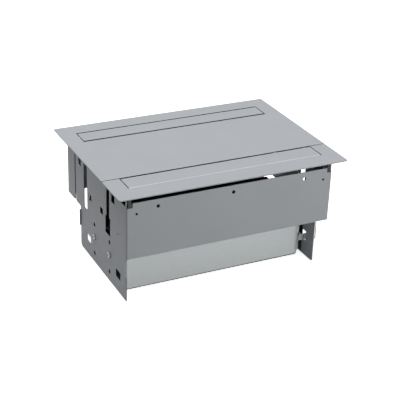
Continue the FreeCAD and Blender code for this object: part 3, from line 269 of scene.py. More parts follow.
def bevelEdges(shape, edges, width, segments):
    bmesh.ops.bevel(shape, geom=edges, offset=width, segments=segments, profile=0.5, affect="EDGES")


def cutAcross(shape, place, direction):
    everything = shape.verts[:] + shape.edges[:] + shape.faces[:]
    bmesh.ops.bisect_plane(shape, geom=everything, dist=near, plane_co=place, plane_no=direction)


# Painted shade: the walls of the lid's slots and seam are coloured nearly black, for the shade in every gap
# of the lid

lidEdge = {"outlineInset": 0.003, "steepestNormal": 0.80}


def paintGapShade(shape, name, finishIndex):
    # the walls in question face sideways and lie inside the outline of the whole lid
    low, high = np.array(cadBounds) + np.array([[1.0], [-1.0]]) * lidEdge["outlineInset"]
    for face in shape.faces:
        middle = face.calc_center_median()
        inside = all(low[i] < middle[i] < high[i] for i in (0, 1))
        if inside and abs(face.normal.z) < lidEdge["steepestNormal"]:
            face.material_index = finishIndex


# Painted highlight: the coat of the hinge bead is lighter and glossier where it rounds over beside the plate
# and faces upwards

beadSheenBand = {"radius": 0.0025, "margin": 0.0001, "normals": (0.30, 0.975)}


def paintBeadSheen(shape, name, finishIndex):
    rodLow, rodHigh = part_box(name.replace("flap", "hinge_rod"))
    axisY, axisZ = ((rodLow[i] + rodHigh[i]) / 2 for i in (1, 2))
    least, most = beadSheenBand["normals"]
    for face in shape.faces:
        middle = face.calc_center_median()
        offAxis = math.hypot(middle.y - axisY, middle.z - axisZ)
        if offAxis < beadSheenBand["radius"] + beadSheenBand["margin"] and least < face.normal.z < most:
            face.material_index = finishIndex


# The free edge of the rear flap has a finger chamfer

fingerChamfer = {"width": 0.0010}


def cutFingerChamfer(shape, name, finishIndex):
    foremost = min(vert.co.y for vert in shape.verts)
    highest = max(vert.co.z for vert in shape.verts)
    edges = [edge for edge in shape.edges
             if all(vert.co.y < foremost + near and vert.co.z > highest - near for vert in edge.verts)]
    bevelEdges(shape, edges, fingerChamfer["width"], segments=1)


# Painted shade: the rims of the holes in the side walls are coloured nearly black, for the shade inside
# them.
# The returns of the shells are cut back beside the two joints, which show as dark upright lines.

wallHoles = {"wallOuter": 0.150, "sheet": 0.001, "margin": 0.00005, "reach": 0.100, "steepestNormal": 0.3}
jointCut = {"cutBack": 0.0024, "reach": 0.004,
            "strips": {"front_shell": "right_splice_strip", "rear_shell": "left_splice_strip"}}


def cutBackReturn(shape, name):
    # the return is the sheet on the strip's side of the box that lies beyond the middle of the joint
    stripLow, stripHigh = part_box(jointCut["strips"][name])
    seam = (stripLow[1] + stripHigh[1]) / 2
    away = math.copysign(1.0, seam)
    side = math.copysign(1.0, stripLow[0])
    for vert in shape.verts:
        beyond = (vert.co.y - seam) * away
        if vert.co.x * side > 0 and 0 < beyond < jointCut["reach"]:
            vert.co.y += away * jointCut["cutBack"]


def cutBackAndShadeWalls(shape, name, finishIndex):
    cutBackReturn(shape, name)
    inner = wallHoles["wallOuter"] - wallHoles["sheet"] + wallHoles["margin"]
    outer = wallHoles["wallOuter"] - wallHoles["margin"]
    for face in shape.faces:
        middle = face.calc_center_median()
        inSheet = inner < abs(middle.x) < outer and abs(middle.y) < wallHoles["reach"]
        if inSheet and abs(face.normal.x) < wallHoles["steepestNormal"]:
            face.material_index = finishIndex


# The zinc front panel is rolled over below, and painted shade runs along the bottom of it as a dark line
# under the bend

lowerBend = {"radius": 0.0009, "segments": 4, "shadeLineHeight": 0.0015}


def bendLowerEdge(shape, name, finishIndex):
    lowest = min(vert.co.z for vert in shape.verts)
    foremost = min(vert.co.y for vert in shape.verts)
    lower = [edge for edge in shape.edges
             if all(vert.co.z < lowest + near and vert.co.y < foremost + near for vert in edge.verts)]
    bevelEdges(shape, lower, lowerBend["radius"], lowerBend["segments"])
    # painted shade on the lowest strip of the panel
    shadeLineTop = lowest + lowerBend["shadeLineHeight"]
    cutAcross(shape, (0, 0, shadeLineTop), (0, 0, 1))
    for face in shape.faces:
        if face.calc_center_median().z < shadeLineTop:
            face.material_index = finishIndex


# The inner face of the end plate is coloured nearly black behind its front stretch

darkBandOnEndPlate = {"front": -0.0795, "facing": -0.9}


def darkenBehindFront(shape, name, finishIndex):
    front = darkBandOnEndPlate["front"]
    cutAcross(shape, (0, front, 0), (0, 1, 0))
    for face in shape.faces:
        if face.calc_center_median().y > front and face.normal.x < darkBandOnEndPlate["facing"]:
            face.material_index = finishIndex


# Edges as they are made: a merged copy of the node, its flat faces joined, and a small bevel

# the work on each piece in its order, with the finish that it gives, if any
sheetWork = {
    "front_cover_plate": [(paintGapShade, shadePaintFinish)],
    "rear_cover_plate": [(paintGapShade, shadePaintFinish)],
    "front_flap": [(paintGapShade, shadePaintFinish), (paintBeadSheen, paintedHighlightFinish)],
    "rear_flap": [(cutFingerChamfer, None), (paintGapShade, shadePaintFinish), (paintBeadSheen, paintedHighlightFinish)],
    "front_shell": [(cutBackAndShadeWalls, shadePaintFinish)],
    "rear_shell": [(cutBackAndShadeWalls, shadePaintFinish)],
    "tray_front_panel": [(bendLowerEdge, shadePaintFinish)],
    "inner_end_plate": [(darkenBehindFront, endPlateBandFinish)],
}
edgeWidths = {"coated_steel": 0.00022, "zinc_coated_steel": 0.00018, "module_plastic": 0.00035,
              "rubber": 0.0005, "brass": 0.0002, "gland_plastic": 0.0004}
brokenEdge = {"segments": 2, "angle": 32.0, "faceWeight": 80, "mergeWithin": 2e-6, "flatWithin": 0.5}
surfacedNodes = ("side_screws", "tab_screws", "mains_gland", "data_grommet")


def breakEdges(piece, width):
    bevel = piece.modifiers.new("brokenEdge", "BEVEL")
    bevel.width = width
    bevel.segments = brokenEdge["segments"]
    bevel.limit_method = "ANGLE"
    bevel.angle_limit = math.radians(brokenEdge["angle"])


def roundEdges(name):
    mesh = nodes[name].data.copy()
    piece = bpy.data.objects.new(name + "_rounded", mesh)
    bpy.context.scene.collection.objects.link(piece)
    shape = bmesh.new()
    shape.from_mesh(mesh)
    bmesh.ops.remove_doubles(shape, verts=shape.verts, dist=brokenEdge["mergeWithin"])
    bmesh.ops.dissolve_limit(shape, angle_limit=math.radians(brokenEdge["flatWithin"]),
                             verts=shape.verts, edges=shape.edges)
    for work, finish in sheetWork.get(name, []):
        work(shape, name, len(mesh.materials))
        if finish:
            mesh.materials.append(finish)
    for face in shape.faces:
        face.smooth = True
    shape.to_mesh(mesh)
    shape.free()
    breakEdges(piece, edgeWidths[nodeSlot[name]])
    normals = piece.modifiers.new("flatFaces", "WEIGHTED_NORMAL")
    normals.weight = brokenEdge["faceWeight"]
    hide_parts(name)
    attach(piece, nodeBody[name])


roundedNodes = [name for name in nodes if nodeSlot[name] in edgeWidths and name not in surfacedNodes]
for name in roundedNodes:
    roundEdges(name)
print("edges rounded on", len(roundedNodes), "nodes")


# Small parts as surfaces: grids of points worked out as whole arrays

surfaceBuild = {"mergeWithin": 1e-6, "emptyWithin": 1e-7, "sharpAngle": 38.0}


def gridFaces(rows, columns):
    # four-sided faces between neighbours of a rows x columns grid of points
    corner = (np.arange(rows - 1)[:, None] * columns + np.arange(columns - 1)[None, :]).ravel()
    return np.stack([corner, corner + 1, corner + columns + 1, corner + columns], axis=1)


def roundTurn(segments):
    # one row of angles over a full turn, the last on the first
    return np.linspace(0, 2 * np.pi, segments + 1)[None, :]


def stepUp(value, width):
    # 0 for a value up to 0, 1 for a value from the width on, and a straight line between
    return np.clip(value / width, 0, 1)


def revolved(profile, segments, radiusWave=None):
    # each (radius, height) of the profile is carried round the axis: x = radius cos a, y = radius sin a,
    # z = height; radiusWave, where given, is a radius to add at each point of the grid
    profile = np.asarray(profile, dtype=float)
    angle = roundTurn(segments)
    radius = profile[:, :1] + np.zeros_like(angle)
    if radiusWave is not None:
        radius = radius + radiusWave
    height = profile[:, 1:] + np.zeros_like(angle)
    points = np.stack([radius * np.cos(angle), radius * np.sin(angle), height], axis=-1)
    return points.reshape(-1, 3), gridFaces(len(profile), segments + 1)


def capped(radius, segments, rings, crown):
    # a disc whose height at each point is crown(share of the radius, x, y)
    share = np.linspace(0, 1, rings)[:, None]
    x = share * radius * np.cos(roundTurn(segments))
    y = share * radius * np.sin(roundTurn(segments))
    points = np.stack([x, y, crown(share, x, y)], axis=-1)
    return points.reshape(-1, 3), gridFaces(rings, segments + 1)


def threaded(radius, length, pitch, cut, rows, segments, runOut):
    # a cylinder down from z = 0 whose radius is cut by a triangular wave that climbs one pitch each turn;
    # with runOut the groove grows from nothing over the first pitch
    height = np.linspace(0, -length, rows)[:, None]
    phase = (height / pitch - np.linspace(0, 1, segments + 1)[None, :]) % 1.0
    groove = -cut * pitch * (1 - np.abs(2 * phase - 1))
    if runOut:
        groove = groove * stepUp(-height, pitch)
    return revolved(np.concatenate([np.full_like(height, radius), height], axis=1), segments, groove)


cornerCurve = {"largestShare": 0.45, "shortest": 1e-9}


def cornerStep(corner, neighbour, radius):
    # from a corner one radius towards its neighbour, or 0.45 of the way where that is nearer
    way = neighbour - corner
    length = max(np.linalg.norm(way), cornerCurve["shortest"])
    return corner + way * min(cornerCurve["largestShare"], radius / length)


def rounded(profile, radius, steps=5):
    # a profile whose inner corners are quadratic curves, each between the two places a step from its corner
    profile = np.asarray(profile, dtype=float)
    pieces = [profile[:1]]
    share = np.linspace(0, 1, steps)[:, None]
    for before, corner, after in zip(profile[:-2], profile[1:-1], profile[2:]):
        start, end = cornerStep(corner, before, radius), cornerStep(corner, after, radius)
        pieces.append((1 - share) ** 2 * start + 2 * share * (1 - share) * corner + share ** 2 * end)
    pieces.append(profile[-1:])
    return np.concatenate(pieces)


def block(low, high):
    # the eight corners of a box between two points
    low, high = np.asarray(low, dtype=float), np.asarray(high, dtype=float)
    pick = np.array([[0, 0, 0], [1, 0, 0], [1, 1, 0], [0, 1, 0], [0, 0, 1], [1, 0, 1], [1, 1, 1], [0, 1, 1]])
    faces = np.array([[0, 3, 2, 1], [4, 5, 6, 7], [0, 1, 5, 4], [1, 2, 6, 5], [2, 3, 7, 6], [3, 0, 4, 7]])
    return low + pick * (high - low), faces


def turned(part, axis, place):
    # the part's own z goes along the axis, and its origin to the place
    points, faces = part
    turn = np.array(Vector(axis).to_track_quat("Z", "Y").to_matrix())
    return points @ turn.T + np.asarray(place), faces


def moved(part, place):
    return part[0] + np.asarray(place), part[1]


def makePiece(name, parts, slotName, body, standsFor=(), bevelWidth=None, finish=None):
    # joins the parts in one mesh, closes its seams and poles, and turns its faces outwards
    starts = np.cumsum([0] + [len(points) for points, faces in parts])
    points = np.concatenate([points for points, faces in parts])
    faces = np.concatenate([faces + start for (_, faces), start in zip(parts, starts)])
    mesh = bpy.data.meshes.new(name)
    mesh.from_pydata(points.tolist(), [], faces.tolist())
    shape = bmesh.new()
    shape.from_mesh(mesh)
    bmesh.ops.remove_doubles(shape, verts=shape.verts, dist=surfaceBuild["mergeWithin"])
    bmesh.ops.dissolve_degenerate(shape, edges=shape.edges, dist=surfaceBuild["emptyWithin"])
    bmesh.ops.recalc_face_normals(shape, faces=shape.faces)
    for face in shape.faces:
        face.smooth = True
    shape.to_mesh(mesh)
    shape.free()
    mesh.set_sharp_from_angle(angle=math.radians(surfaceBuild["sharpAngle"]))
    mesh.materials.append(finish or finishes[slotName])
    piece = bpy.data.objects.new(name, mesh)
    bpy.context.scene.collection.objects.link(piece)
    if bevelWidth:
        breakEdges(piece, bevelWidth)
    if standsFor:
        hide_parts(*standsFor)
    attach(piece, body)


def middleOf(low, high):
    return (np.array(low) + np.array(high)) / 2


def topMiddle(name):
    low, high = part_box(name)
    return np.array([(low[0] + high[0]) / 2, (low[1] + high[1]) / 2, high[2]])


def nodesCalled(start):
    return sorted(name for name in nodes if name.startswith(start))


# Pan head screws with a cross recess and a rolled thread

screwForm = {"segments": 96, "rings": 44, "crownShare": 0.995, "rimRise": 0.42, "rimEdge": 0.36,
             "crownPower": 2.6, "armBlend": 0.00012, "armEndBlend": 0.0002, "armRise": 0.45,
             "threadSegments": 48, "rowsPerTurn": 8, "threadCut": 0.5, "tipCut": 0.3}
sideScrew = {"headRadius": 0.0046, "headHeight": 0.0028, "shankRadius": 0.0025, "length": 0.009,
             "pitch": 0.0008, "crossWidth": 0.0011, "crossReach": 0.0026, "crossDepth": 0.0017}
tabScrew = {"headRadius": 0.0028, "headHeight": 0.0019, "shankRadius": 0.0015, "length": 0.006,
            "pitch": 0.0005, "crossWidth": 0.0007, "crossReach": 0.0016, "crossDepth": 0.0011}


def panHeadScrew(look):
    # head: above the rim the height falls from the middle as the square root of 1 - (r/R)^2.6, less a cross
    # of four arms whose floor slopes up outwards
    form = screwForm
    rimHeight = look["headHeight"] * form["rimRise"]

    def crown(share, x, y):
        height = rimHeight + (look["headHeight"] - rimHeight) * np.sqrt(1 - share ** form["crownPower"])
        nearest = np.minimum(np.abs(x), np.abs(y))
        reach = np.maximum(np.abs(x), np.abs(y))
        inArm = (stepUp(look["crossWidth"] / 2 - nearest, form["armBlend"])
                 * stepUp(look["crossReach"] - reach, form["armEndBlend"]))
        floorDepth = look["crossDepth"] * (1 - form["armRise"] * stepUp(reach, look["crossReach"]))
        return height - inArm * floorDepth

    crownRadius = look["headRadius"] * form["crownShare"]
    head = capped(crownRadius, form["segments"], form["rings"], crown)
    rim = revolved([(crownRadius, rimHeight), (look["headRadius"], look["headHeight"] * form["rimEdge"]),
                    (look["headRadius"], 0.0), (look["shankRadius"], 0.0)], form["segments"])
    rows = int(look["length"] / look["pitch"] * form["rowsPerTurn"])
    shank = threaded(look["shankRadius"], look["length"], look["pitch"], form["threadCut"], rows,
                     form["threadSegments"], runOut=True)
    tip = revolved([(look["shankRadius"] - form["tipCut"] * look["pitch"], -look["length"]),
                    (0.0, -look["length"])], form["threadSegments"])
    return [head, rim, shank, tip]


def placeScrews(name, look, seats):
    parts = [turned(part, axis, place) for place, axis in seats for part in panHeadScrew(look)]
    makePiece(name + "_surfaced", parts, nodeSlot[name], nodeBody[name], standsFor=(name,),
              finish=screwFinish)


def makeScrews():
    low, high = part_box("side_screws")
    seatX = low[0] + sideScrew["headHeight"]
    level = (low[2] + high[2]) / 2
    rows = (low[1] + sideScrew["headRadius"], high[1] - sideScrew["headRadius"])
    placeScrews("side_screws", sideScrew, [((seatX, y, level), (-1, 0, 0)) for y in rows])
    low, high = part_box("tab_screws")
    radius = tabScrew["headRadius"]
    height = tabScrew["headHeight"]
    level = (low[2] + high[2]) / 2
    placeScrews("tab_screws", tabScrew, [((low[0] + radius, low[1] + height, level), (0, -1, 0)),
                                         ((high[0] - radius, high[1] - height, level), (0, 1, 0))])


makeScrews()
print("screws made")


# Inside the sockets: contact sleeves and sprung earth clips

contact = {"pitch": 0.019, "radius": 0.00248, "bore": 0.0021, "length": 0.0094, "sink": 0.0005,
           "flareDepth": 0.0006, "lip": 0.0001, "floor": 0.0002, "segments": 40}
earthClip = {"recessDepth": 0.017, "recessRadius": 0.0193, "gap": 0.0006, "width": 0.0048, "thick": 0.0005,
             "bulge": 0.0019, "bulgePower": 1.4, "foot": 0.0006, "top": 0.0042, "steps": 28}


def contactSleeve():
    # a tube with a flared mouth, its floor closed
    look = contact
    foot = -look["length"]
    profile = [(0.0, foot), (look["bore"], foot), (look["bore"], -look["flareDepth"]),
               (look["radius"] - look["lip"], 0.0), (look["radius"], 0.0), (look["radius"], foot),
               (0.0, foot - look["floor"])]
    return revolved(profile, look["segments"])


def clipStrip(direction):
    # a strip whose path bulges into the recess as a power of the sine of its height, thick along y
    look = earthClip
    share = np.linspace(0, 1, look["steps"])
    lowest = look["foot"] - look["recessDepth"]
    height = lowest + share * (-look["top"] - lowest)
    outer = look["recessRadius"] - look["gap"] - look["bulge"] * np.sin(np.pi * share) ** look["bulgePower"]
    inner = outer - look["thick"]
    half = look["width"] / 2
    loop = [np.stack([np.full_like(share, x), direction * y, height], axis=-1)
            for x, y in ((-half, outer), (half, outer), (half, inner), (-half, inner), (-half, outer))]
    sides = gridFaces(len(share), len(loop))
    last = (len(share) - 1) * len(loop)
    ends = np.array([[0, 1, 2, 3], [last, last + 3, last + 2, last + 1]])
    return np.stack(loop, axis=1).reshape(-1, 3), np.concatenate([sides, ends])


mainsSockets = nodesCalled("mains_socket")
for name in mainsSockets:
    mouth = topMiddle(name)
    recessFloor = mouth - np.array([0, 0, earthClip["recessDepth"] + contact["sink"]])
    sleevePlaces = [recessFloor + np.array([side * contact["pitch"] / 2, 0, 0]) for side in (-1, 1)]
    makePiece(name + "_contacts", [moved(contactSleeve(), place) for place in sleevePlaces], "brass",
              nodeBody[name])
    makePiece(name + "_earthClips", [moved(clipStrip(side), mouth) for side in (-1, 1)], "bright_steel",
              nodeBody[name])
print("contacts fitted to", len(mainsSockets), "sockets")


# Charger ports: a metal shell lines each port, with the tongue in its middle

chargerPort = {"pitch": 0.014, "width": 0.0090, "height": 0.0032, "wall": 0.0003, "depth": 0.0066,
               "sink": 0.0003, "widthPower": 0.35, "heightPower": 0.60, "segments": 64,
               "tongueWidth": 0.0066, "tongueThick": 0.0007, "tongueRise": 0.0054, "tongueEdge": 0.0001}


def portOutline(shrink):
    # a rounded slot: x = a |cos t|^0.35 and y = b |sin t|^0.6, each with the sign of its cosine or sine
    look = chargerPort
    angle = roundTurn(look["segments"])[0]
    cosine, sine = np.cos(angle), np.sin(angle)
    x = (look["width"] / 2 - shrink) * np.sign(cosine) * np.abs(cosine) ** look["widthPower"]
    y = (look["height"] / 2 - shrink) * np.sign(sine) * np.abs(sine) ** look["heightPower"]
    return x, y


def portShell():
    # the outer and the inner outline, joined at the mouth and at the foot
    look = chargerPort
    outer, inner = portOutline(0.0), portOutline(look["wall"])
    rings = [(outer, -look["depth"]), (outer, -look["sink"]), (inner, -look["sink"]),
             (inner, -look["depth"]), (outer, -look["depth"])]
    points = np.concatenate([np.stack([x, y, np.full_like(x, level)], axis=-1) for (x, y), level in rings])
    return points, gridFaces(len(rings), look["segments"] + 1)


def portTongue():
    look = chargerPort
    return block((-look["tongueWidth"] / 2, -look["tongueThick"] / 2, -look["depth"]),
                 (look["tongueWidth"] / 2, look["tongueThick"] / 2, look["tongueRise"] - look["depth"]))


chargers = nodesCalled("charger_module")
for name in chargers:
    places = [topMiddle(name) + np.array([0, side * chargerPort["pitch"] / 2, 0]) for side in (-1, 1)]
    makePiece(name + "_portShells", [moved(portShell(), place) for place in places], "bright_steel",
              nodeBody[name])
    makePiece(name + "_tongues", [moved(portTongue(), place) for place in places], "gland_plastic",
              nodeBody[name], bevelWidth=chargerPort["tongueEdge"])
print("ports fitted to", len(chargers), "chargers")


# Data jacks: eight sprung wires across each jack

dataJack = {"web": 0.0058, "bodyWidth": 0.041, "wires": 8, "wirePitch": 0.00102, "wireRadius": 0.00022,
            "start": (0.0040, -0.0036), "end": (-0.0034, -0.0105), "sag": 0.0006, "steps": 14, "sides": 8}


def jackWire(x):
    # a thin tube from under the mouth down to the far wall, sagging as a sine
    look = dataJack
    share = np.linspace(0, 1, look["steps"])[:, None]
    angle = roundTurn(look["sides"])
    (startY, startZ), (endY, endZ) = look["start"], look["end"]
    pathY = startY + share * (endY - startY)
    pathZ = startZ + share * (endZ - startZ) - look["sag"] * np.sin(np.pi * share)
    points = np.stack([x + look["wireRadius"] * np.cos(angle) + 0 * share,
                       pathY + 0 * angle,
                       pathZ + look["wireRadius"] * np.sin(angle)], axis=-1)
    return points.reshape(-1, 3), gridFaces(look["steps"], look["sides"] + 1)


def jackWires(name):
    # two jacks with a web between and beside them, each with its wires side by side about its middle
    jackWidth = (dataJack["bodyWidth"] - 3 * dataJack["web"]) / 2
    halfPitch = (jackWidth + dataJack["web"]) / 2
    places = (np.arange(dataJack["wires"]) - (dataJack["wires"] - 1) / 2) * dataJack["wirePitch"]
    return [moved(jackWire(x), topMiddle(name) + np.array([side * halfPitch, 0, 0]))
            for side in (-1, 1) for x in places]


jacks = nodesCalled("data_module")
for name in jacks:
    makePiece(name + "_wires", jackWires(name), "brass", nodeBody[name])
print("wires fitted to", len(jacks), "data modules")


# Mains gland: hexagon, ribbed cap with a rounded end, threaded neck and a soft ring inside

gland = {"segments": 96, "bore": 0.006,
         "hexLength": 0.006, "halfFlat": 0.012, "hexCorner": 1.13, "hexEdge": 0.0003, "hexInset": 0.0004,
         "capLength": 0.013, "capRadius": 0.0115, "capFoot": 0.0012, "capFootInset": 0.0002,
         "capCurve": 0.0011, "mouthSlope": 0.0035, "mouthLip": 0.0003, "mouthDepth": 0.001,
         "ribs": 24, "ribDepth": 0.0005, "ribSegments": 240, "ribStart": (0.0010, 0.0012),
         "ribEnd": (0.0022, 0.0014), "ribSide": 0.0008,
         "neckRadius": 0.010, "neckRows": 90, "pitch": 0.0015, "threadCut": 0.35, "shoulderInset": 0.0005,
         "neckEndInset": 0.0006,
         "sealBore": 0.0061, "sealSeat": 0.0062, "sealTop": 0.0006, "sealDepth": 0.006, "sealCurve": 0.0005}


def glandHexagon():
    # the radius is half the width over the cosine of the angle from the nearest flat, with cut corners
    look = gland
    sixth = np.pi / 3
    fromFlat = (roundTurn(look["segments"]) - sixth / 2) % sixth - sixth / 2
    radius = np.minimum(look["halfFlat"] / np.cos(fromFlat), look["halfFlat"] * look["hexCorner"])
    levels = (0.0, look["hexEdge"], look["hexLength"] - look["hexEdge"], look["hexLength"])
    inset = np.array([[look["hexInset"]], [0.0], [0.0], [look["hexInset"]]])
    return revolved([(0.0, level) for level in levels], look["segments"], radius - inset)


def glandCap(capStart, capEnd):
    # the ribs are a cosine round the cap, which fades at both ends and is only on the cylinder
    look = gland
    line = rounded([(look["capRadius"] - look["capFootInset"], capStart),
                    (look["capRadius"], capStart + look["capFoot"]),
                    (look["capRadius"], capEnd - look["capFoot"]),
                    (look["capRadius"] - look["mouthSlope"], capEnd),
                    (look["bore"] + look["mouthLip"], capEnd),
                    (look["bore"], capEnd - look["mouthDepth"])], look["capCurve"], 8)
    radius, height = line[:, :1], line[:, 1:]
    (startGap, startBlend), (endGap, endBlend) = look["ribStart"], look["ribEnd"]
    fade = (stepUp(height - capStart - startGap, startBlend) * stepUp(capEnd - endGap - height, endBlend)
            * stepUp(radius - look["capRadius"] + look["ribSide"], look["ribSide"]))
    ribs = -look["ribDepth"] / 2 * (1 - np.cos(look["ribs"] * roundTurn(look["ribSegments"]))) * fade
    return revolved(line, look["ribSegments"], ribs)


def glandSeal(capEnd):
    # a sleeve behind the mouth; its foot stands twice in the line, so that rows gather there
    look = gland
    foot = (look["sealSeat"], capEnd - look["sealDepth"])
    line = [(look["sealSeat"], capEnd - look["mouthDepth"]), (look["sealBore"], capEnd - look["sealTop"]),
            foot, foot]
    return revolved(rounded(line, look["sealCurve"]), look["segments"])


def makeGland():
    # local z runs outwards from the wiring box, from the seat of the hexagon
    look = gland
    low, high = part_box("mains_gland")
    capStart = look["hexLength"]
    capEnd = capStart + look["capLength"]
    seat = high[1] - capEnd
    neckLength = seat - low[1]
    shoulderRadius = look["halfFlat"] - look["hexInset"]
    segments = look["segments"]
    parts = [
        glandHexagon(),
        glandCap(capStart, capEnd),
        threaded(look["neckRadius"], neckLength, look["pitch"], look["threadCut"], look["neckRows"],
                 segments, runOut=False),
        revolved([(look["neckRadius"] - look["neckEndInset"], -neckLength), (look["bore"], -neckLength),
                  (look["bore"], capEnd - look["mouthDepth"])], segments),
        revolved([(look["bore"], capStart), (shoulderRadius, capStart)], segments),
        revolved([(look["neckRadius"] - look["shoulderInset"], 0.0), (shoulderRadius, 0.0)], segments),
    ]
    place = np.array([(low[0] + high[0]) / 2, seat, (low[2] + high[2]) / 2])
    outwards = (0, 1, 0)
    makePiece("mains_gland_surfaced", [turned(part, outwards, place) for part in parts],
              nodeSlot["mains_gland"], nodeBody["mains_gland"], standsFor=("mains_gland",))
    makePiece("mains_gland_seal", [turned(glandSeal(capEnd), outwards, place)], "rubber",
              nodeBody["mains_gland"])


makeGland()
print("gland made")


# Data cable grommet: one soft ring with two rounded lips and a groove between

grommet = {"lip": 0.0025, "sheet": 0.001, "lipRadius": 0.0155, "neckRadius": 0.013, "bore": 0.0095,
           "curve": 0.0011, "curveSteps": 7, "segments": 120}


def makeGrommet():
    look = grommet
    groove = look["sheet"] / 2
    face = groove + look["lip"]
    line = [(look["bore"], 0.0), (look["bore"], -face),
            (look["lipRadius"], -face), (look["lipRadius"], -groove),
            (look["neckRadius"], -groove), (look["neckRadius"], groove),
            (look["lipRadius"], groove), (look["lipRadius"], face),
            (look["bore"], face), (look["bore"], 0.0)]
    ring = revolved(rounded(line, look["curve"], look["curveSteps"]), look["segments"])
    makePiece("data_grommet_surfaced", [turned(ring, (0, 1, 0), middleOf(*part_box("data_grommet")))],
              nodeSlot["data_grommet"], nodeBody["data_grommet"], standsFor=("data_grommet",))


makeGrommet()
print("grommet made")


# Wire trough: an open channel on the back of the module frame's upstand, for the leads of the inserts

wireTrough = {"thick": 0.001, "depth": 0.006, "bottom": 0.080, "innerTop": 0.096, "outerTop": 0.109,
              "leftGap": 0.0005, "bend": 0.0012, "bendSteps": 6, "offset": 0.0001}


def makeWireTrough():
    # the outline of a J-shaped channel in y and z, with its two lower corners rounded, is carried along x
    look = wireTrough
    low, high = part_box("module_frame")
    frameSide = high[1] + look["offset"]
    farSide = frameSide + look["depth"]
    outer = np.array([(frameSide, look["innerTop"]), (frameSide, look["bottom"]),
                      (farSide, look["bottom"]), (farSide, look["outerTop"])])
    inner = outer + np.array([(1, 0), (1, 1), (-1, 1), (-1, 0)]) * look["thick"]
    line = np.concatenate([rounded(outer, look["bend"], look["bendSteps"]),
                           rounded(inner, look["bend"] / 2, look["bendSteps"])[::-1]])
    half = len(line) // 2
    line = np.concatenate([line, line[:1]])
    ends = (low[0] + look["leftGap"], high[0])
    points = np.concatenate([np.column_stack([np.full(len(line), x), line]) for x in ends])
    # each end is closed by four-sided faces between the outer and the inner line
    step = np.arange(half - 1)
    endFaces = np.stack([step, step + 1, 2 * half - 2 - step, 2 * half - 1 - step], axis=1)
    faces = np.concatenate([gridFaces(2, len(line)), endFaces, endFaces + len(line)])
    makePiece("module_frame_wireTrough", [(points, faces)], "module_plastic", nodeBody["module_frame"])


makeWireTrough()
print("wire trough made")


# Terminal block: a slotted screw over each way

terminalScrew = {"count": 5, "radius": 0.0019, "height": 0.0012, "slotWidth": 0.0006, "slotDepth": 0.0007,
                 "slotBlend": 0.00008, "rings": 24, "segments": 64}


def makeTerminalScrews():
    # a flat head whose height drops inside a straight slot across it
    look = terminalScrew

    def slotted(share, x, y):
        inSlot = stepUp(look["slotWidth"] / 2 - np.abs(x), look["slotBlend"])
        return look["height"] - look["slotDepth"] * inSlot

    head = capped(look["radius"], look["segments"], look["rings"], slotted)
    side = revolved([(look["radius"], look["height"]), (look["radius"], 0.0), (0.0, 0.0)], look["segments"])
    low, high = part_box("terminal_block")
    middleX = (low[0] + high[0]) / 2
    pitch = (high[1] - low[1]) / look["count"]
    places = [(middleX, low[1] + pitch * (way + 0.5), high[2]) for way in range(look["count"])]
    parts = [moved(part, place) for place in places for part in (head, side)]
    makePiece("terminal_screws", parts, "brass", nodeBody["terminal_block"])


makeTerminalScrews()
print("terminal screws made")


# Stage: pale floor, soft light, camera

stageLook = {"floorSize": 30.0, "floorDrop": 0.0005, "floorGlow": 0.80, "floorBounce": 0.12,
             "backdrop": 1.0, "skyLight": 0.09}


def rayIsSeen(tree):
    # 1 for camera, glossy and transmission rays, which are the ones that show the backdrop
    path = tree.nodes.new("ShaderNodeLightPath")
    total = path.outputs["Is Camera Ray"]
    for kind in ("Is Glossy Ray", "Is Transmission Ray"):
        larger = tree.nodes.new("ShaderNodeMath")
        larger.operation = "MAXIMUM"
        tree.links.new(total, larger.inputs[0])
        tree.links.new(path.outputs[kind], larger.inputs[1])
        total = larger.outputs["Value"]
    return total


def showWhenSeen(tree, output, hidden, seen):
    # the seen shader for rays that show the backdrop, and the hidden one for those that light the object
    mix = tree.nodes.new("ShaderNodeMixShader")
    tree.links.new(rayIsSeen(tree), mix.inputs["Fac"])
    tree.links.new(hidden, mix.inputs[1])
    tree.links.new(seen, mix.inputs[2])
    tree.links.new(mix.outputs["Shader"], output.inputs["Surface"])


def makeFloor():
    half = stageLook["floorSize"] / 2
    corners = [(-half, -half, 0), (half, -half, 0), (half, half, 0), (-half, half, 0)]
    mesh = bpy.data.meshes.new("paleFloor")
    mesh.from_pydata(corners, [], [(0, 1, 2, 3)])
    floor = bpy.data.objects.new("paleFloor", mesh)
    bpy.context.scene.collection.objects.link(floor)
    floor.location.z = -stageLook["floorDrop"]
    finish = bpy.data.materials.new("palePaper")
    finish.use_nodes = True
    tree = finish.node_tree
    tree.nodes.clear()
    output = tree.nodes.new("ShaderNodeOutputMaterial")
    seen = tree.nodes.new("ShaderNodeAddShader")
    paper = tree.nodes.new("ShaderNodeBsdfDiffuse")
    paper.inputs["Color"].default_value = (*white, 1)
    glow = tree.nodes.new("ShaderNodeEmission")
    glow.inputs["Strength"].default_value = stageLook["floorGlow"]
    tree.links.new(paper.outputs["BSDF"], seen.inputs[0])
    tree.links.new(glow.outputs["Emission"], seen.inputs[1])
    bounce = tree.nodes.new("ShaderNodeBsdfDiffuse")
    bounce.inputs["Color"].default_value = (*shade(stageLook["floorBounce"]), 1)
    showWhenSeen(tree, output, bounce.outputs["BSDF"], seen.outputs["Shader"])
    mesh.materials.append(finish)


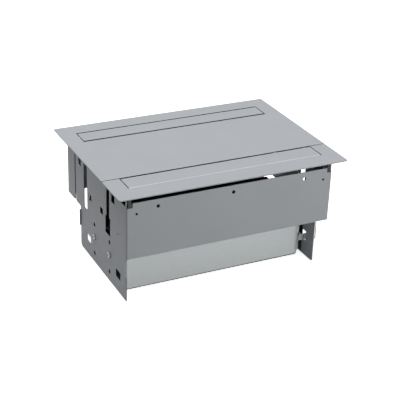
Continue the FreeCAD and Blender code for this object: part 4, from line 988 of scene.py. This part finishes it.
def makeWorld():
    world = bpy.data.worlds.new("paleRoom")
    bpy.context.scene.world = world
    world.use_nodes = True
    tree = world.node_tree
    tree.nodes.clear()
    output = tree.nodes.new("ShaderNodeOutputWorld")
    light = tree.nodes.new("ShaderNodeBackground")
    light.inputs["Strength"].default_value = stageLook["skyLight"]
    backdrop = tree.nodes.new("ShaderNodeBackground")
    backdrop.inputs["Strength"].default_value = stageLook["backdrop"]
    for background in (light, backdrop):
        background.inputs["Color"].default_value = (*white, 1)
    showWhenSeen(tree, output, light.outputs["Background"], backdrop.outputs["Background"])


lampTarget = (0, 0, 0.1)
lamps = {
    "overheadBox": {"direction": (-0.12, 0.20, 0.97), "distance": 2.4, "size": 1.5, "strength": 0.78},
    "frontFill": {"direction": (0.24, -0.96, 0.16), "distance": 1.1, "size": 0.7, "strength": 0.475},
    "leftFill": {"direction": (-0.76, 0.65, 0.01), "distance": 2.6, "size": 0.4, "strength": 0.192},
    "rightFill": {"direction": (0.92, 0.38, 0.06), "distance": 2.6, "size": 1.0, "strength": 0.15},
}


def makeLamp(name, lamp):
    data = bpy.data.lights.new(name, "AREA")
    data.shape = "SQUARE"
    data.size = lamp["size"]
    # a far square lamp of power P shows a facing white surface at P / (pi^2 distance^2) of full brightness
    data.energy = lamp["strength"] * math.pi ** 2 * lamp["distance"] ** 2
    light = bpy.data.objects.new(name, data)
    bpy.context.scene.collection.objects.link(light)
    direction = Vector(lamp["direction"]).normalized()
    light.location = direction * lamp["distance"] + Vector(lampTarget)
    light.rotation_euler = direction.to_track_quat("Z", "Y").to_euler()


view = {"azimuth": -26.783, "pitch": 26.294, "roll": 2.120, "eye": (-0.6209, -1.2430, 0.7558),
        "lens": 99.5, "sensor": 36.0, "farthest": 100.0}


def makeCamera():
    data = bpy.data.cameras.new("photoCamera")
    data.sensor_width = view["sensor"]
    data.lens = view["lens"]
    data.clip_end = view["farthest"]
    camera = bpy.data.objects.new("photoCamera", data)
    bpy.context.scene.collection.objects.link(camera)
    azimuth, pitch, roll = (math.radians(view[key]) for key in ("azimuth", "pitch", "roll"))
    # back points from the scene to the camera, and level to the right
    back = Vector((math.sin(azimuth) * math.cos(pitch),
                   -math.cos(azimuth) * math.cos(pitch),
                   math.sin(pitch)))
    level = Vector((math.cos(azimuth), math.sin(azimuth), 0))
    upright = back.cross(level)
    right = math.cos(roll) * level + math.sin(roll) * upright
    up = -math.sin(roll) * level + math.cos(roll) * upright
    turn = Matrix((right, up, back)).transposed().to_4x4()
    camera.matrix_world = Matrix.Translation(view["eye"]) @ turn
    bpy.context.scene.camera = camera


makeFloor()
makeWorld()
for name, lamp in lamps.items():
    makeLamp(name, lamp)
makeCamera()
bpy.context.scene.view_settings.view_transform = "Standard"
print("stage, light and camera placed")
